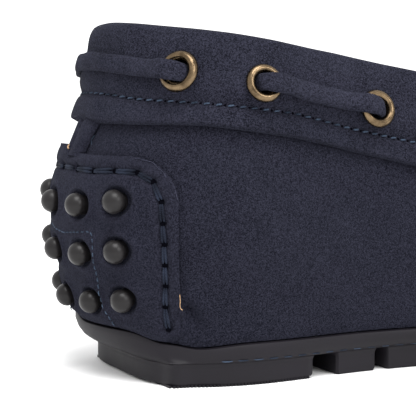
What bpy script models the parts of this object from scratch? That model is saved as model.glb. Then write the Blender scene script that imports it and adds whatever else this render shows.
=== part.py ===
"""A right driving loafer of suede: moccasin upper, folded collar band with a thong laced through it,
perforated heel counter with rubber pebbles, and a lugged rubber sole.

Lengths are in millimetres and solid() scales them to metres. +X points to the toe, +Z up, and -Y is
the outer (little toe) side. The origin is the middle of the flat face under the heel block.
"""

import math

import bmesh
import bpy
import numpy as np

MM = 0.001
GAP = 0.3  # clearance between pieces that touch

# ---- driving dimensions ----
HEEL_BLOCK_LENGTH = 36.0
HEEL_BACK = -HEEL_BLOCK_LENGTH / 2  # x of the heel block's back edge
TREAD_HEIGHT = 5.0  # lugs and heel block, from the floor to the sole plate
SOLE_TOP = 9.5  # top of the sole plate
FLANGE_LIP = 1.0  # how far the sole plate stands out past the upper's foot
LIP_HEIGHT = 1.3
BED_INSET = 2.8  # the insole's bed starts this far inside the upper's foot
WALL = 2.0  # thickness of the upper
HEEL_RISE = 2.3  # how much higher the plate's edge stands at the back of the heel
HEEL_RISE_END = 8.0 + HEEL_BACK  # the edge has come down to SOLE_TOP from here on
HEEL_RISE_LENGTH = 13.7
CORNER_DIP = 0.9  # how much lower the edge runs where the heel turns into the sides
CORNER_DIP_X = 7.5 + HEEL_BACK
CORNER_DIP_REACH = 6.5
SPRING_START = 205.0 + HEEL_BACK  # the sole leaves the floor from here to the toe
SPRING_LENGTH = 64.0
SPRING_HEIGHT = 8.0

# The last, read round the foot of the upper from the back of the heel, along the outer side to the toe
# and back along the inner side. foot: plan position where the upper meets the sole. tread: plan position
# of the bottom edge of the sole plate. low, mid, high, rim: how far the wall stands out from its foot at
# a quarter, half, three quarters and all of its height. rim_z: height of the wall's upper edge, which
# is the topline up to the throat and the apron seam from there on. x starts at the heel block's back.
#            foot_x foot_y tread_x tread_y low mid high rim rim_z
LAST = {
    "heel_back": (-7.0, 0.0, -1.6, -1.0, 4.3, 4.4, -1.3, -5.5, 77.4),
    "outer_heel_corner": (-1.4, -17.6, 0.6, -20.0, 4.5, 4.9, -0.4, -5.6, 76.5),
    "outer_heel": (9.5, -26.4, 11.0, -27.4, 3.8, 4.6, 0.8, -3.8, 75.4),
    "outer_waist": (45.0, -26.6, 45.0, -26.2, 3.4, 4.2, 1.6, -2.4, 69.7),
    "outer_arch": (80.0, -29.0, 80.0, -27.0, 3.2, 4.0, 2.4, -1.5, 63.4),
    "outer_quarter": (112.0, -35.5, 112.0, -32.5, 3.6, 4.2, 1.8, -4.5, 61.5),
    "outer_throat": (138.0, -41.5, 138.0, -38.0, 4.0, 4.4, 0.0, -12.5, 64.0),
    "outer_ball": (170.0, -46.0, 170.0, -42.5, 4.4, 4.2, -2.0, -19.0, 55.0),
    "outer_toe": (211.0, -44.0, 210.0, -40.5, 4.4, 4.0, -1.6, -16.5, 46.0),
    "outer_toe_corner": (247.0, -30.0, 244.0, -27.0, 4.0, 3.6, -1.8, -13.5, 41.0),
    "toe_outer": (264.0, -13.0, 260.0, -11.5, 3.6, 3.0, -2.2, -13.5, 39.0),
    "toe": (269.0, 7.0, 265.0, 7.0, 3.4, 2.8, -2.2, -13.5, 38.5),
    "toe_inner": (262.0, 26.0, 258.5, 24.0, 3.6, 3.0, -2.2, -13.5, 39.5),
    "inner_toe": (236.0, 39.5, 234.0, 36.5, 4.0, 3.6, -1.8, -14.5, 43.0),
    "inner_ball": (193.0, 44.5, 193.0, 41.0, 4.2, 4.0, -1.6, -17.5, 51.0),
    "inner_instep": (160.0, 40.0, 160.0, 36.5, 4.0, 4.0, -0.8, -16.5, 59.5),
    "inner_throat": (138.0, 33.5, 138.0, 30.0, 3.6, 4.0, 0.6, -11.0, 66.0),
    "inner_arch": (108.0, 25.0, 108.0, 21.5, 3.2, 4.6, 3.4, 0.2, 63.5),
    "inner_waist": (76.0, 21.5, 76.0, 19.0, 3.0, 4.6, 3.8, 0.4, 64.8),
    "inner_heel_front": (43.0, 23.5, 43.0, 21.5, 3.2, 4.4, 2.2, -1.8, 70.3),
    "inner_heel": (9.5, 25.6, 11.0, 23.6, 3.8, 4.6, 0.8, -3.8, 75.6),
    "inner_heel_corner": (-2.5, 17.9, 1.0, 18.0, 3.6, 3.6, -1.7, -6.9, 76.5),
}
OUTER_THROAT, TOE, INNER_THROAT = (list(LAST).index(n) for n in ("outer_throat", "toe", "inner_throat"))

# How far the apron rises over the straight line between its two seams, from the throat to the toe.
APRON_CROWN = (14.0, 12.8, 11.0, 8.5, 4.8, 0.0)

# Mesh steps: columns along the outer seam and round the quarters, rows up the wall, strips over the apron.
FRONT_STEPS = 12
HEEL_ZONE = 45.0  # columns stand HEEL_STEP apart round the heel, this far to each side of its back
HEEL_STEP = 5.0
QUARTER_STEPS = 10
WALL_ROWS = 8
OUTLINE_STEPS = 18  # points of the sole's outline from the heel zone to the toe, on each side
APRON_STRIPS = 8

# The sole's tread: the heel block, one lug on its own, then a row of equal lugs.
HEEL_GROOVE = 6.5
LUG_LENGTH = 10.9
LUG_GROOVE = 3.0
LUG_INSET = 0.5  # lugs step in from the bottom edge of the plate
LUG_CHAMFER = 0.9
TREAD_END = 262.0 + HEEL_BACK
INSOLE_INSET = 3.4
INSOLE_THICK = 3.0

# Collar band, folded over the topline. Heights are below the wall's rim.
COLLAR_RISE = 2.5  # fold, above the rim
COLLAR_EDGE = 18.4  # lower raw edge
COLLAR_STITCH = 13.6
COLLAR_DROP = 2.0  # how much lower both lie at the back of the heel
COLLAR_DROP_REACH = 40.0
COLLAR_SKIN = 1.7
COLLAR_INSIDE_EDGE = 10.0
COLLAR_END = 4.0  # the band stops this far short of the throat's corners
TUNNEL = 2.3  # room behind the band for the thong

# Eyelets: distance of each centre from the back, on either side, and below the rim.
EYELET_X = (4.9, 20.6, 49.6, 67.2, 96.4)
EYELET_DROP = 8.1
EYELET_FALL = 1.2  # how much lower they lie forward of the heel
EYELET_FALL_REACH = (35.0, 60.0)  # distances from the back between which they come down
EYELET_RING_R = 3.45  # radius to the middle of the rolled ring
EYELET_ROLL_R = 1.1
EYELET_BORE_R = 2.6
EYELET_BARREL_R = 3.1
EYELET_SEGMENTS = 12

LACE_WIDTH = 4.2
LACE_THICK = 1.5
LACE_BORE_WIDTH = 3.2

COUNTER_HALF = 28.0  # half its length, measured along the wall from the back
COUNTER_TOP = 50.0
COUNTER_CORNER = 9.0
COUNTER_THICK = 1.7
COUNTER_GAP = 0.4
COUNTER_LINES = 7
PEBBLE_R = 2.8
PEBBLE_PROUD = 3.3
PEBBLE_STEM = 0.8  # straight foot of a pebble, below its dome
PEBBLE_SEGMENTS = 9
PEBBLE_ARCS = (34, 68)  # steps up the dome, in degrees
PEBBLE_ROWS = (39.3, 29.1, 18.5)  # heights above the floor at the back
PEBBLE_COLUMNS = (-16.2, -6.9, 4.5, 16.2)  # distances from the back seam, along the wall
PEBBLE_RISE = 1.5  # climb of each row from its middle to its last pebble

# The strip that runs from the counter's top edge up under the collar band.
STRIP_HALF = 6.2
STRIP_THICK = 1.0
STRIP_GAP = 0.6
STRIP_TUCK = 0.8  # how far it reaches down into the counter

SEAM_R = 1.0
TONGUE_LENGTH = 34.0
TONGUE_UNDER = 14.0
TONGUE_THICK = 2.2

COLOURS = {
    "suede": ((0.027, 0.030, 0.050), 0.95, 0.0),
    "lining": ((0.10, 0.075, 0.05), 0.8, 0.0),
    "rubber": ((0.040, 0.038, 0.042), 0.6, 0.0),
    "brass": ((0.40, 0.27, 0.13), 0.35, 1.0),
}


# ---- curves ----
def spline_tangents(knots, values):
    """Tangents of the twice-smooth closed curve through values, a row for each knot but the last."""
    count = len(values)
    step = np.diff(knots)
    system = np.zeros((count, count))
    right = np.zeros_like(values)
    for i in range(count):
        before, after = step[i - 1], step[i]
        slope_before = (values[i] - values[i - 1]) / before
        slope_after = (values[(i + 1) % count] - values[i]) / after
        system[i, i - 1] += after
        system[i, i] += 2 * (before + after)
        system[i, (i + 1) % count] += before
        right[i] = 3 * (after * slope_before + before * slope_after)
    return np.linalg.solve(system, right)


ROWS = np.array(list(LAST.values()))
ROWS[:, [0, 2]] += HEEL_BACK
ROWS_CLOSED = np.vstack([ROWS, ROWS[:1]])
# Each station's place along the foot line; a whole turn is ROUND long.
STATION = np.concatenate([[0.0], np.cumsum(np.hypot(*np.diff(ROWS_CLOSED[:, :2], axis=0).T))])
ROUND = STATION[-1]
TANGENTS = spline_tangents(STATION, ROWS)


def last_row(s):
    """The last's row at place s along the foot line, by smooth interpolation between the stations."""
    s = s % ROUND
    i = min(int(np.searchsorted(STATION, s, side="right")) - 1, len(ROWS) - 1)
    j = (i + 1) % len(ROWS)
    width = STATION[i + 1] - STATION[i]
    t = (s - STATION[i]) / width
    return (
        ROWS[i] * (2 * t**3 - 3 * t**2 + 1)
        + TANGENTS[i] * width * (t**3 - 2 * t**2 + t)
        + ROWS[j] * (3 * t**2 - 2 * t**3)
        + TANGENTS[j] * width * (t**3 - t**2)
    )


def outward(s):
    """Plan direction straight out of the foot line."""
    ahead = last_row(s + 0.5)[:2] - last_row(s - 0.5)[:2]
    return np.array([ahead[1], -ahead[0]]) / np.hypot(*ahead)


def spring(x):
    """Height of the tread above the floor."""
    return SPRING_HEIGHT * max(0.0, (x - SPRING_START) / SPRING_LENGTH) ** 2


def edge_z(x):
    """Height of the sole plate's edge, which dips at the heel's corners and climbs round its back."""
    back = min(max((HEEL_RISE_END - x) / HEEL_RISE_LENGTH, 0.0), 1.0)
    dip = CORNER_DIP * math.exp(-(((x - CORNER_DIP_X) / CORNER_DIP_REACH) ** 2))
    return SOLE_TOP + spring(x) + HEEL_RISE * back * back * (3 - 2 * back) - dip


def swell(row, v):
    """How far out the wall stands at share v of its height: a quartic through the row's five values."""
    heights = (0.0, 0.25, 0.5, 0.75, 1.0)
    outs = (0.0, row[4], row[5], row[6], row[7])
    total = 0.0
    for i, out in enumerate(outs):
        share = math.prod((v - h) / (heights[i] - h) for j, h in enumerate(heights) if j != i)
        total += out * share
    return total


def wall_at(s, v):
    row = last_row(s)
    plan = row[:2] + outward(s) * swell(row, v)
    foot_z = edge_z(row[0]) + GAP
    return np.array([plan[0], plan[1], foot_z + v * (row[8] - foot_z)])


def wall_normal(s, v):
    """The wall's outward direction; its last few percent lean as the wall does just below them."""
    v = min(v, 0.95)
    along = wall_at(s + 0.4, v) - wall_at(s - 0.4, v)
    up = wall_at(s, v + 0.01) - wall_at(s, v - 0.01)
    normal = np.cross(along, up)
    return normal / np.linalg.norm(normal)


def wall(s, z, out=0.0):
    """The point of the wall at height z, moved out along the wall's own normal."""
    row = last_row(s)
    foot_z = edge_z(row[0]) + GAP
    v = (z - foot_z) / (row[8] - foot_z)
    return wall_at(s, v) + wall_normal(s, v) * out


def place_at(x, side):
    """Place along the foot line, on the outer (-1) or inner (+1) side, at distance x from the back."""
    target = x + HEEL_BACK
    span = (1.0, STATION[OUTER_THROAT]) if side < 0 else (ROUND - 1.0, STATION[INNER_THROAT])
    near, far = span
    for _ in range(40):
        middle = (near + far) / 2
        if last_row(middle)[0] < target:
            near = middle
        else:
            far = middle
    return near


def crown(t):
    return float(np.interp(t, np.linspace(0, 1, len(APRON_CROWN)), APRON_CROWN))


def seam_places(t):
    """Places of the apron seam on the outer and inner side, at share t of the way to the toe."""
    outer = STATION[OUTER_THROAT] + t * (STATION[TOE] - STATION[OUTER_THROAT])
    inner = STATION[INNER_THROAT] + t * (STATION[TOE] - STATION[INNER_THROAT])
    return outer, inner


def apron(t, w):
    """The apron at share t of the way from throat to toe and w of the way from outer to inner seam."""
    if t < 0:
        return apron(0.0, w) + (apron(0.04, w) - apron(0.0, w)) * t / 0.04
    outer, inner = (wall_at(s, 1.0) for s in seam_places(t))
    point = outer + (inner - outer) * w
    point[2] += crown(t) * 4 * w * (1 - w)
    return point


def apron_normal(t, w):
    along = apron(t + 0.02, w) - apron(t - 0.02, w)
    across = apron(t, w + 0.02) - apron(t, w - 0.02)
    normal = np.cross(along, across)
    return normal / np.linalg.norm(normal)


# ---- solids ----
def material(name):
    found = bpy.data.materials.get(name)
    if found:
        return found
    colour, roughness, metallic = COLOURS[name.split("_")[0]]
    made = bpy.data.materials.new(name)
    made.use_nodes = True
    shader = made.node_tree.nodes["Principled BSDF"]
    shader.inputs["Base Color"].default_value = (*colour, 1.0)
    shader.inputs["Roughness"].default_value = roughness
    shader.inputs["Metallic"].default_value = metallic
    return made


def solid(name, points, faces, kind, sharp=40.0, outside=True):
    """An object from points in millimetres, with its faces turned out and flat and smooth parts shaded."""
    mesh = bpy.data.meshes.new(name)
    mesh.from_pydata([tuple(np.asarray(p) * MM) for p in points], [], faces)
    build = bmesh.new()
    build.from_mesh(mesh)
    bmesh.ops.remove_doubles(build, verts=build.verts, dist=0.01 * MM)
    if outside:
        bmesh.ops.recalc_face_normals(build, faces=build.faces)
    build.to_mesh(mesh)
    build.free()
    mesh.shade_smooth()
    mesh.set_sharp_from_angle(angle=math.radians(sharp))
    made = bpy.data.objects.new(name, mesh)
    made.data.materials.append(material(f"{kind}_{name}"))
    bpy.context.scene.collection.objects.link(made)
    return made


def tube(rings, capped=True):
    """Points and faces of a skin over rings of equal length, closed at both ends or into a loop."""
    count, width = len(rings), len(rings[0])
    points = [p for ring in rings for p in ring]
    faces = []
    for i in range(count if not capped else count - 1):
        for j in range(width):
            k, n = (j + 1) % width, (i + 1) % count
            faces.append((i * width + j, i * width + k, n * width + k, n * width + j))
    if capped:
        faces.append(tuple(range(width))[::-1])
        faces.append(tuple((count - 1) * width + j for j in range(width)))
    return points, faces


def plate(rings):
    """Points and faces of a plate whose top and bottom run across from side to side in strips."""
    points, faces = tube(rings)
    width = len(rings[0])
    faces = faces[:-2]
    for i in range(width // 2):
        ahead, across, past = i + 1, (width - i) % width, width - i - 1
        strip = [k for n, k in enumerate((i, ahead, past, across)) if k not in (i, ahead)[: n // 2 * 2]]
        faces.append(tuple(strip)[::-1])
        faces.append(tuple(k + (len(rings) - 1) * width for k in strip))
    return points, faces


def slab(inside, outside):
    """Points and faces of a plate between two grids of the same size."""
    rows, columns = len(inside), len(inside[0])
    points = [p for grid in (inside, outside) for row in grid for p in row]
    shift = rows * columns

    def at(i, j, side):
        return side * shift + i * columns + j

    faces = []
    for i in range(rows - 1):
        for j in range(columns - 1):
            for side in (0, 1):
                quad = (at(i, j, side), at(i, j + 1, side), at(i + 1, j + 1, side), at(i + 1, j, side))
                faces.append(quad if side else quad[::-1])
    for i in range(rows - 1):
        end = columns - 1
        faces.append((at(i, 0, 0), at(i, 0, 1), at(i + 1, 0, 1), at(i + 1, 0, 0)))
        faces.append((at(i + 1, end, 0), at(i + 1, end, 1), at(i, end, 1), at(i, end, 0)))
    for j in range(columns - 1):
        faces.append((at(0, j + 1, 0), at(0, j + 1, 1), at(0, j, 1), at(0, j, 0)))
        faces.append((at(rows - 1, j, 0), at(rows - 1, j, 1), at(rows - 1, j + 1, 1), at(rows - 1, j + 1, 0)))
    return points, faces


def patch(places, bottom, top, rows, inside, outside):
    """An overlay cut from the wall: a plate from bottom(i) to top(i) at each place, between two offsets."""
    grids = []
    for out in (inside, outside):
        grid = []
        for i, s in enumerate(places):
            heights = np.linspace(bottom(i), top(i), rows)
            grid.append([wall(s, z, out) for z in heights])
        grids.append(grid)
    return slab(*grids)


def combine(target, other, operation):
    """Cuts the other object from the target, or joins it on, and hides it."""
    other.hide_render = True
    other.display_type = "WIRE"
    modifier = target.modifiers.new(other.name, "BOOLEAN")
    modifier.operation = operation
    modifier.object = other


def turned(centre, axis, profile, segments, closed=False):
    """Points and faces of (radius, height) profile turned round an axis; closed profiles make a ring."""
    axis = axis / np.linalg.norm(axis)
    side = np.cross(axis, [0.0, 0.0, 1.0])
    side /= np.linalg.norm(side)
    other = np.cross(axis, side)
    rings = []
    for i in range(segments):
        angle = 2 * math.pi * i / segments
        ray = side * math.cos(angle) + other * math.sin(angle)
        rings.append([centre + ray * r + axis * h for r, h in profile])
    if closed:
        return tube(rings, capped=False)
    width = len(profile)
    points = [p for ring in rings for p in ring]
    faces = []
    for i in range(segments):
        here, there = i * width, (i + 1) % segments * width
        faces += [(here + j, here + j + 1, there + j + 1, there + j) for j in range(width - 1)]
    faces.append(tuple(i * width for i in range(segments))[::-1])
    faces.append(tuple(i * width + width - 1 for i in range(segments)))
    return points, faces


# ---- pieces ----
def rear_places():
    """Columns of the wall from the inner throat round the heel to the outer throat; overlays share them,
    so that their facets lie parallel."""
    heel = ROUND + np.arange(-HEEL_ZONE, HEEL_ZONE + 0.1, HEEL_STEP)
    first, last = STATION[INNER_THROAT], ROUND + STATION[OUTER_THROAT]
    inner = np.linspace(first + COLLAR_END, heel[0], QUARTER_STEPS + 1)
    outer = np.linspace(heel[-1], last - COLLAR_END, QUARTER_STEPS + 1)
    return np.concatenate([[first], inner[:-1], heel, outer[1:], [last]])


def heel_places(half):
    """The same columns up to a distance half on each side of the back, with one at each end."""
    inside = np.arange(-HEEL_ZONE, HEEL_ZONE + 0.1, HEEL_STEP)
    return np.concatenate([[-half], inside[np.abs(inside) < half - 1.0], [half]])


def make_upper():
    """Wall all round, with the apron over the foot; open at the collar and underneath."""
    rear = rear_places()
    steps = np.linspace(0, 1, FRONT_STEPS + 1)
    outer = [seam_places(t)[0] for t in steps]
    inner = [seam_places(t)[1] for t in steps]
    places = list(rear[:-1]) + outer[:-1] + inner[::-1][:-1]
    points, faces = [], []
    for s in places:
        points += [wall_at(s, v) for v in np.linspace(0, 1, WALL_ROWS + 1)]
    width = WALL_ROWS + 1
    for i in range(len(places)):
        here, there = i * width, (i + 1) % len(places) * width
        faces += [(here + j, there + j, there + j + 1, here + j + 1) for j in range(WALL_ROWS)]
    start = len(points)
    for t in steps[:-1]:
        points += [apron(t, w) for w in np.linspace(0, 1, APRON_STRIPS + 1)]
    points.append(wall_at(STATION[TOE], 1.0))
    across = APRON_STRIPS + 1
    for i in range(FRONT_STEPS - 1):
        for j in range(APRON_STRIPS):
            a = start + i * across + j
            faces.append((a, a + across, a + across + 1, a + 1))
    tip = len(points) - 1
    last = start + (FRONT_STEPS - 1) * across
    faces += [(last + j, tip, last + j + 1) for j in range(APRON_STRIPS)]
    upper = solid("upper", points, faces, "suede", outside=False)
    shell = upper.modifiers.new("wall", "SOLIDIFY")
    shell.thickness = WALL * MM
    shell.offset = -1.0
    shell.use_even_offset = True


def foot_outline(front_count, out, tread=False):
    """Plan outline of the foot line or of the tread, moved out by a distance. Both sides have the same
    number of points, so that point i of one side faces point -i of the other."""
    ring = []
    heel = np.arange(0.0, HEEL_ZONE, HEEL_STEP)
    outer = np.linspace(HEEL_ZONE, STATION[TOE], front_count, endpoint=False)
    inner = np.linspace(STATION[TOE], ROUND - HEEL_ZONE, front_count, endpoint=False)
    for s in np.concatenate([heel, outer, inner, heel + ROUND - HEEL_ZONE]):
        if tread:
            ahead = last_row(s + 0.5)[2:4] - last_row(s - 0.5)[2:4]
            normal = np.array([ahead[1], -ahead[0]]) / np.hypot(*ahead)
            ring.append(last_row(s)[2:4] + normal * out)
        else:
            ring.append(last_row(s)[:2] + outward(s) * out)
    return ring


def side_of_tread(x, side):
    """y of the tread's outline, stepped in, at x on the outer (-1) or inner (+1) side."""
    ring = np.array(foot_outline(4 * OUTLINE_STEPS, -LUG_INSET, tread=True))
    half = ring[ring[:, 1] * side > 0]
    order = np.argsort(half[:, 0])
    return float(np.interp(x, half[order, 0], half[order, 1]))


def lug_outline(start, end):
    xs = np.linspace(start, end, 3)
    outer = [(x, side_of_tread(x, -1)) for x in xs]
    inner = [(x, side_of_tread(x, 1)) for x in xs[::-1]]
    return np.array(outer + inner)


def heel_block_outline():
    ring = np.array(foot_outline(OUTLINE_STEPS, -LUG_INSET, tread=True))
    ring = ring[ring[:, 0] < HEEL_BACK + HEEL_BLOCK_LENGTH - 3.0]
    turn = int(np.argmax(np.hypot(*np.diff(ring, axis=0).T)))
    ring = np.roll(ring, -(turn + 1), axis=0)
    front = HEEL_BACK + HEEL_BLOCK_LENGTH
    corners = [(front, side_of_tread(front, -1)), (front, side_of_tread(front, 1))]
    return np.vstack([ring, corners])


def lug(outline):
    """Rings of one lug: its top inside the plate, its side, and a chamfer round the floor face."""
    middle = outline.mean(axis=0)
    half = np.abs(outline - middle).max(axis=0)
    inner = middle + (outline - middle) * (half - LUG_CHAMFER) / half
    levels = ((outline, TREAD_HEIGHT + 0.6), (outline, LUG_CHAMFER), (inner, 0.0))
    return [[(x, y, z + spring(x)) for x, y in ring] for ring, z in levels]


def make_outsole():
    """Sole plate with its sloping edge, joined to the heel block and the lugs under it."""
    bed = [(x, y, SOLE_TOP + spring(x)) for x, y in foot_outline(OUTLINE_STEPS, -BED_INSET)]
    ledge = [(x, y, edge_z(x)) for x, y in foot_outline(OUTLINE_STEPS, 0.2 - BED_INSET)]
    edge = foot_outline(OUTLINE_STEPS, FLANGE_LIP)
    top = [(x, y, edge_z(x)) for x, y in edge]
    lip = [(x, y, edge_z(x) - LIP_HEIGHT) for x, y in edge]
    low = [(x, y, TREAD_HEIGHT + spring(x)) for x, y in foot_outline(OUTLINE_STEPS, 0.0, tread=True)]
    outsole = solid("outsole", *plate([bed, ledge, top, lip, low]), "rubber")
    starts = [HEEL_BACK + HEEL_BLOCK_LENGTH + HEEL_GROOVE]
    while starts[-1] + 2 * LUG_LENGTH + LUG_GROOVE < TREAD_END:
        starts.append(starts[-1] + LUG_LENGTH + LUG_GROOVE)
    outlines = [heel_block_outline()] + [lug_outline(x, x + LUG_LENGTH) for x in starts]
    points, faces = [], []
    for outline in outlines:
        more, skins = tube(lug(outline))
        faces += [tuple(i + len(points) for i in face) for face in skins]
        points += more
    combine(outsole, solid("lugs", points, faces, "rubber"), "UNION")


def make_insole():
    rings = []
    for z, out in ((SOLE_TOP + GAP, -INSOLE_INSET), (SOLE_TOP + GAP + INSOLE_THICK, -INSOLE_INSET)):
        rings.append([(x, y, z + spring(x)) for x, y in foot_outline(OUTLINE_STEPS, out)])
    return solid("insole", *plate(rings), "lining")


def make_tongue():
    """Strip under the apron's back edge that carries on up the instep."""
    reach = np.linalg.norm(apron(0.04, 0.5) - apron(0.0, 0.5)) / 0.04
    tip = np.array([0.0, 1.5, 4.0, 8.0])
    lengths = np.concatenate([tip, np.linspace(12.0, TONGUE_LENGTH + TONGUE_UNDER, 8)])
    shares = (lengths - TONGUE_LENGTH) / reach
    grids = []
    for drop in (WALL + 0.6 + TONGUE_THICK, WALL + 0.6):
        grid = []
        for i, t in enumerate(shares):
            round_off = 1.0 if i > 3 else (0.52, 0.76, 0.9, 0.97)[i]
            half = 0.4 * round_off
            widths = np.linspace(0.5 - half, 0.5 + half, 9)
            grid.append([apron(t, w) - apron_normal(max(t, 0.0), w) * drop for w in widths])
        grids.append(grid)
    return solid("tongue", *slab(*grids), "suede")


def make_apron_seam():
    """The raised hand-sewn ridge where apron and wall meet."""
    rings = []
    share = np.linspace(0.03, 1.0, 19)
    places = [seam_places(t)[0] for t in share] + [seam_places(t)[1] for t in share[::-1][1:]]
    for s in places:
        corner = wall_at(s, 1.0)
        over = np.array([0.0, 0.0, 1.0])
        lean = wall_normal(s, 0.97)
        lift = over + lean
        lift /= np.linalg.norm(lift)
        along = wall_at(s + 0.4, 1.0) - wall_at(s - 0.4, 1.0)
        side = np.cross(lift, along / np.linalg.norm(along))
        middle = corner + lift * (SEAM_R + 0.75)
        ring = []
        for k in range(6):
            angle = 2 * math.pi * k / 6
            ring.append(middle + side * SEAM_R * math.cos(angle) + lift * SEAM_R * math.sin(angle))
        rings.append(ring)
    return solid("apron_seam", *tube(rings), "suede")


# Collar section: (height from the rim, distance out from the wall), from the inner edge of the outer leg
# up over the rim to the inside and back along the outer face.
COLLAR_SECTION = (
    (-COLLAR_EDGE, GAP),
    (-16.2, GAP + 0.1),
    (-COLLAR_STITCH, GAP + 0.1),
    (-COLLAR_STITCH + 1.6, TUNNEL + 0.2),
    (-3.2, TUNNEL + 0.2),
    (-1.4, GAP + 0.3),
    (GAP + 0.2, 0.2),
    (GAP + 0.2, -WALL - 0.8),
    (-1.4, -WALL - GAP - 0.5),
    (-5.5, -WALL - GAP - 0.4),
    (-COLLAR_INSIDE_EDGE, -WALL - GAP - 0.2),
    (-COLLAR_INSIDE_EDGE, -WALL - GAP - COLLAR_SKIN),
    (-5.5, -WALL - GAP - COLLAR_SKIN - 0.3),
    (-1.0, -WALL - GAP - COLLAR_SKIN - 0.3),
    (1.5, -WALL - 1.4),
    (COLLAR_RISE, -0.7),
    (COLLAR_RISE - 0.3, 1.4),
    (1.2, 3.0),
    (-1.4, TUNNEL + COLLAR_SKIN),
    (-EYELET_DROP, TUNNEL + COLLAR_SKIN + 0.2),
    (-COLLAR_STITCH + 2.0, TUNNEL + COLLAR_SKIN - 0.7),
    (-COLLAR_STITCH, GAP + COLLAR_SKIN - 0.2),
    (-COLLAR_EDGE, GAP + COLLAR_SKIN),
)
BAND_FACE = TUNNEL + COLLAR_SKIN + 0.2  # distance of the band's outer face from the wall at the eyelets


def collar_drop(s):
    """How much lower the band's edge and stitch line lie, fading out forward of the heel."""
    away = min(s % ROUND, -s % ROUND) / COLLAR_DROP_REACH
    return COLLAR_DROP * 0.5 * (1 + math.cos(math.pi * min(away, 1.0)))


def eyelet_drop(s):
    """Depth of the thong's line below the rim."""
    away = min(s % ROUND, -s % ROUND)
    start, end = EYELET_FALL_REACH
    return EYELET_DROP + EYELET_FALL * min(max((away - start) / (end - start), 0.0), 1.0)


def above_wall(s, height, out):
    """A point by height from the rim and distance from the wall, carried straight up above the rim."""
    rim_z = last_row(s)[8]
    if height < -EYELET_DROP - 2.0 * EYELET_FALL:
        height -= collar_drop(s)
    if height <= 0:
        return wall(s, rim_z + height, out)
    return wall(s, rim_z, out) + np.array([0.0, 0.0, height])


def eyelet_places():
    return [(side, place_at(x, side)) for side in (-1, 1) for x in EYELET_X]


def eyelet_frame(s):
    """Middle of an eyelet on the band's outer face, and the direction straight out."""
    face = above_wall(s, -eyelet_drop(s), BAND_FACE)
    return face, wall_normal(s, 0.9)


def make_collar():
    rings = []
    for s in rear_places()[1:-1]:
        rings.append([above_wall(s, height, out) for height, out in COLLAR_SECTION])
    collar = solid("collar", *tube(rings), "suede")
    points, faces = [], []
    for _, s in eyelet_places():
        face, axis = eyelet_frame(s)
        r = EYELET_BARREL_R + GAP
        more, skins = turned(face, axis, [(r, -COLLAR_SKIN - 0.8), (r, 1.5)], EYELET_SEGMENTS)
        faces += [tuple(i + len(points) for i in f) for f in skins]
        points += more
    combine(collar, solid("collar_holes", points, faces, "suede"), "DIFFERENCE")


def make_eyelets():
    """Rolled brass rings with a short barrel through the band."""
    for number, (_, s) in enumerate(eyelet_places(), start=1):
        face, axis = eyelet_frame(s)
        roll = GAP + EYELET_ROLL_R * 0.6
        profile = [(EYELET_BORE_R, -COLLAR_SKIN + 0.2), (EYELET_BARREL_R, -COLLAR_SKIN + 0.2)]
        for k in range(4):
            angle = math.radians(-75 + 65 * k)
            profile.append((EYELET_RING_R + EYELET_ROLL_R * math.cos(angle), roll + 0.6 * math.sin(angle)))
        profile[2] = (EYELET_BARREL_R + 0.1, GAP)
        side = "outer" if number <= len(EYELET_X) else "inner"
        index = (number - 1) % len(EYELET_X) + 1
        points, faces = turned(face, axis, profile, EYELET_SEGMENTS, closed=True)
        solid(f"eyelet_{side}_{index}", points, faces, "brass", sharp=60)


# The thong beside one eyelet: distance along the run from the middle of the hole (positive on the
# side that lies outside), height off the band's face, and width.
LACE_DIVE = (
    (8.5, 1.35, LACE_WIDTH),
    (5.0, 2.45, LACE_WIDTH),
    (2.7, 2.7, LACE_WIDTH - 0.2),
    (1.2, 2.25, LACE_BORE_WIDTH),
    (0.3, 1.1, LACE_BORE_WIDTH),
    (-0.1, -0.9, LACE_BORE_WIDTH),
    (-1.0, -2.2, LACE_BORE_WIDTH),
    (-2.4, -2.95, LACE_WIDTH - 0.2),
    (-4.6, -3.12, LACE_WIDTH),
)
LACE_OUTSIDE = 1.35
LACE_HIDDEN = -3.12


def lace_half(side):
    """Stations of the thong from the back of the heel to its end inside the last eyelet on one side."""
    places = [place_at(x, side) for x in EYELET_X]
    ahead = 1.0 if side < 0 else -1.0
    back = 0.0 if side < 0 else ROUND
    stations = [(back + ahead * d, LACE_OUTSIDE, LACE_WIDTH) for d in (0.0, 4.0, 8.0)]
    for number, s in enumerate(places):
        inward = number % 2 == 0
        dive = LACE_DIVE if inward else LACE_DIVE[::-1]
        turn = -ahead if inward else ahead
        if number == len(places) - 1:
            dive = [row for row in dive if row[0] > -2.0]
        stations += [(s + turn * run, height, width) for run, height, width in dive]
        if number < len(places) - 1:
            height = LACE_HIDDEN if inward else LACE_OUTSIDE
            gap = abs(places[number + 1] - s)
            reach = 4.6 if inward else 8.5
            for share in (0.33, 0.67) if inward else (0.25, 0.5, 0.75):
                place = s + ahead * (reach + share * (gap - 2 * reach))
                stations.append((place, height, LACE_WIDTH))
    return stations


def make_lace():
    outer = lace_half(-1)
    inner = lace_half(1)
    stations = outer[::-1] + [(s - ROUND, h, w) for s, h, w in inner[1:]]
    path = [above_wall(s, -eyelet_drop(s), BAND_FACE + height) for s, height, _ in stations]
    rings = []
    for i, (s, _, width) in enumerate(stations):
        along = path[min(i + 1, len(path) - 1)] - path[max(i - 1, 0)]
        along /= np.linalg.norm(along)
        up = above_wall(s, -EYELET_DROP + 1.0, 0.0) - above_wall(s, -EYELET_DROP - 0.9, 0.0)
        up -= along * (up @ along)
        up /= np.linalg.norm(up)
        thick = np.cross(along, up)
        half, rise = width / 2, LACE_THICK / 2
        corners = ((-1, 0), (-0.8, -1), (0.8, -1), (1, 0), (0.8, 1), (-0.8, 1))
        rings.append([path[i] + up * half * a + thick * rise * b for a, b in corners])
    return solid("lace", *tube(rings), "suede")


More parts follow.
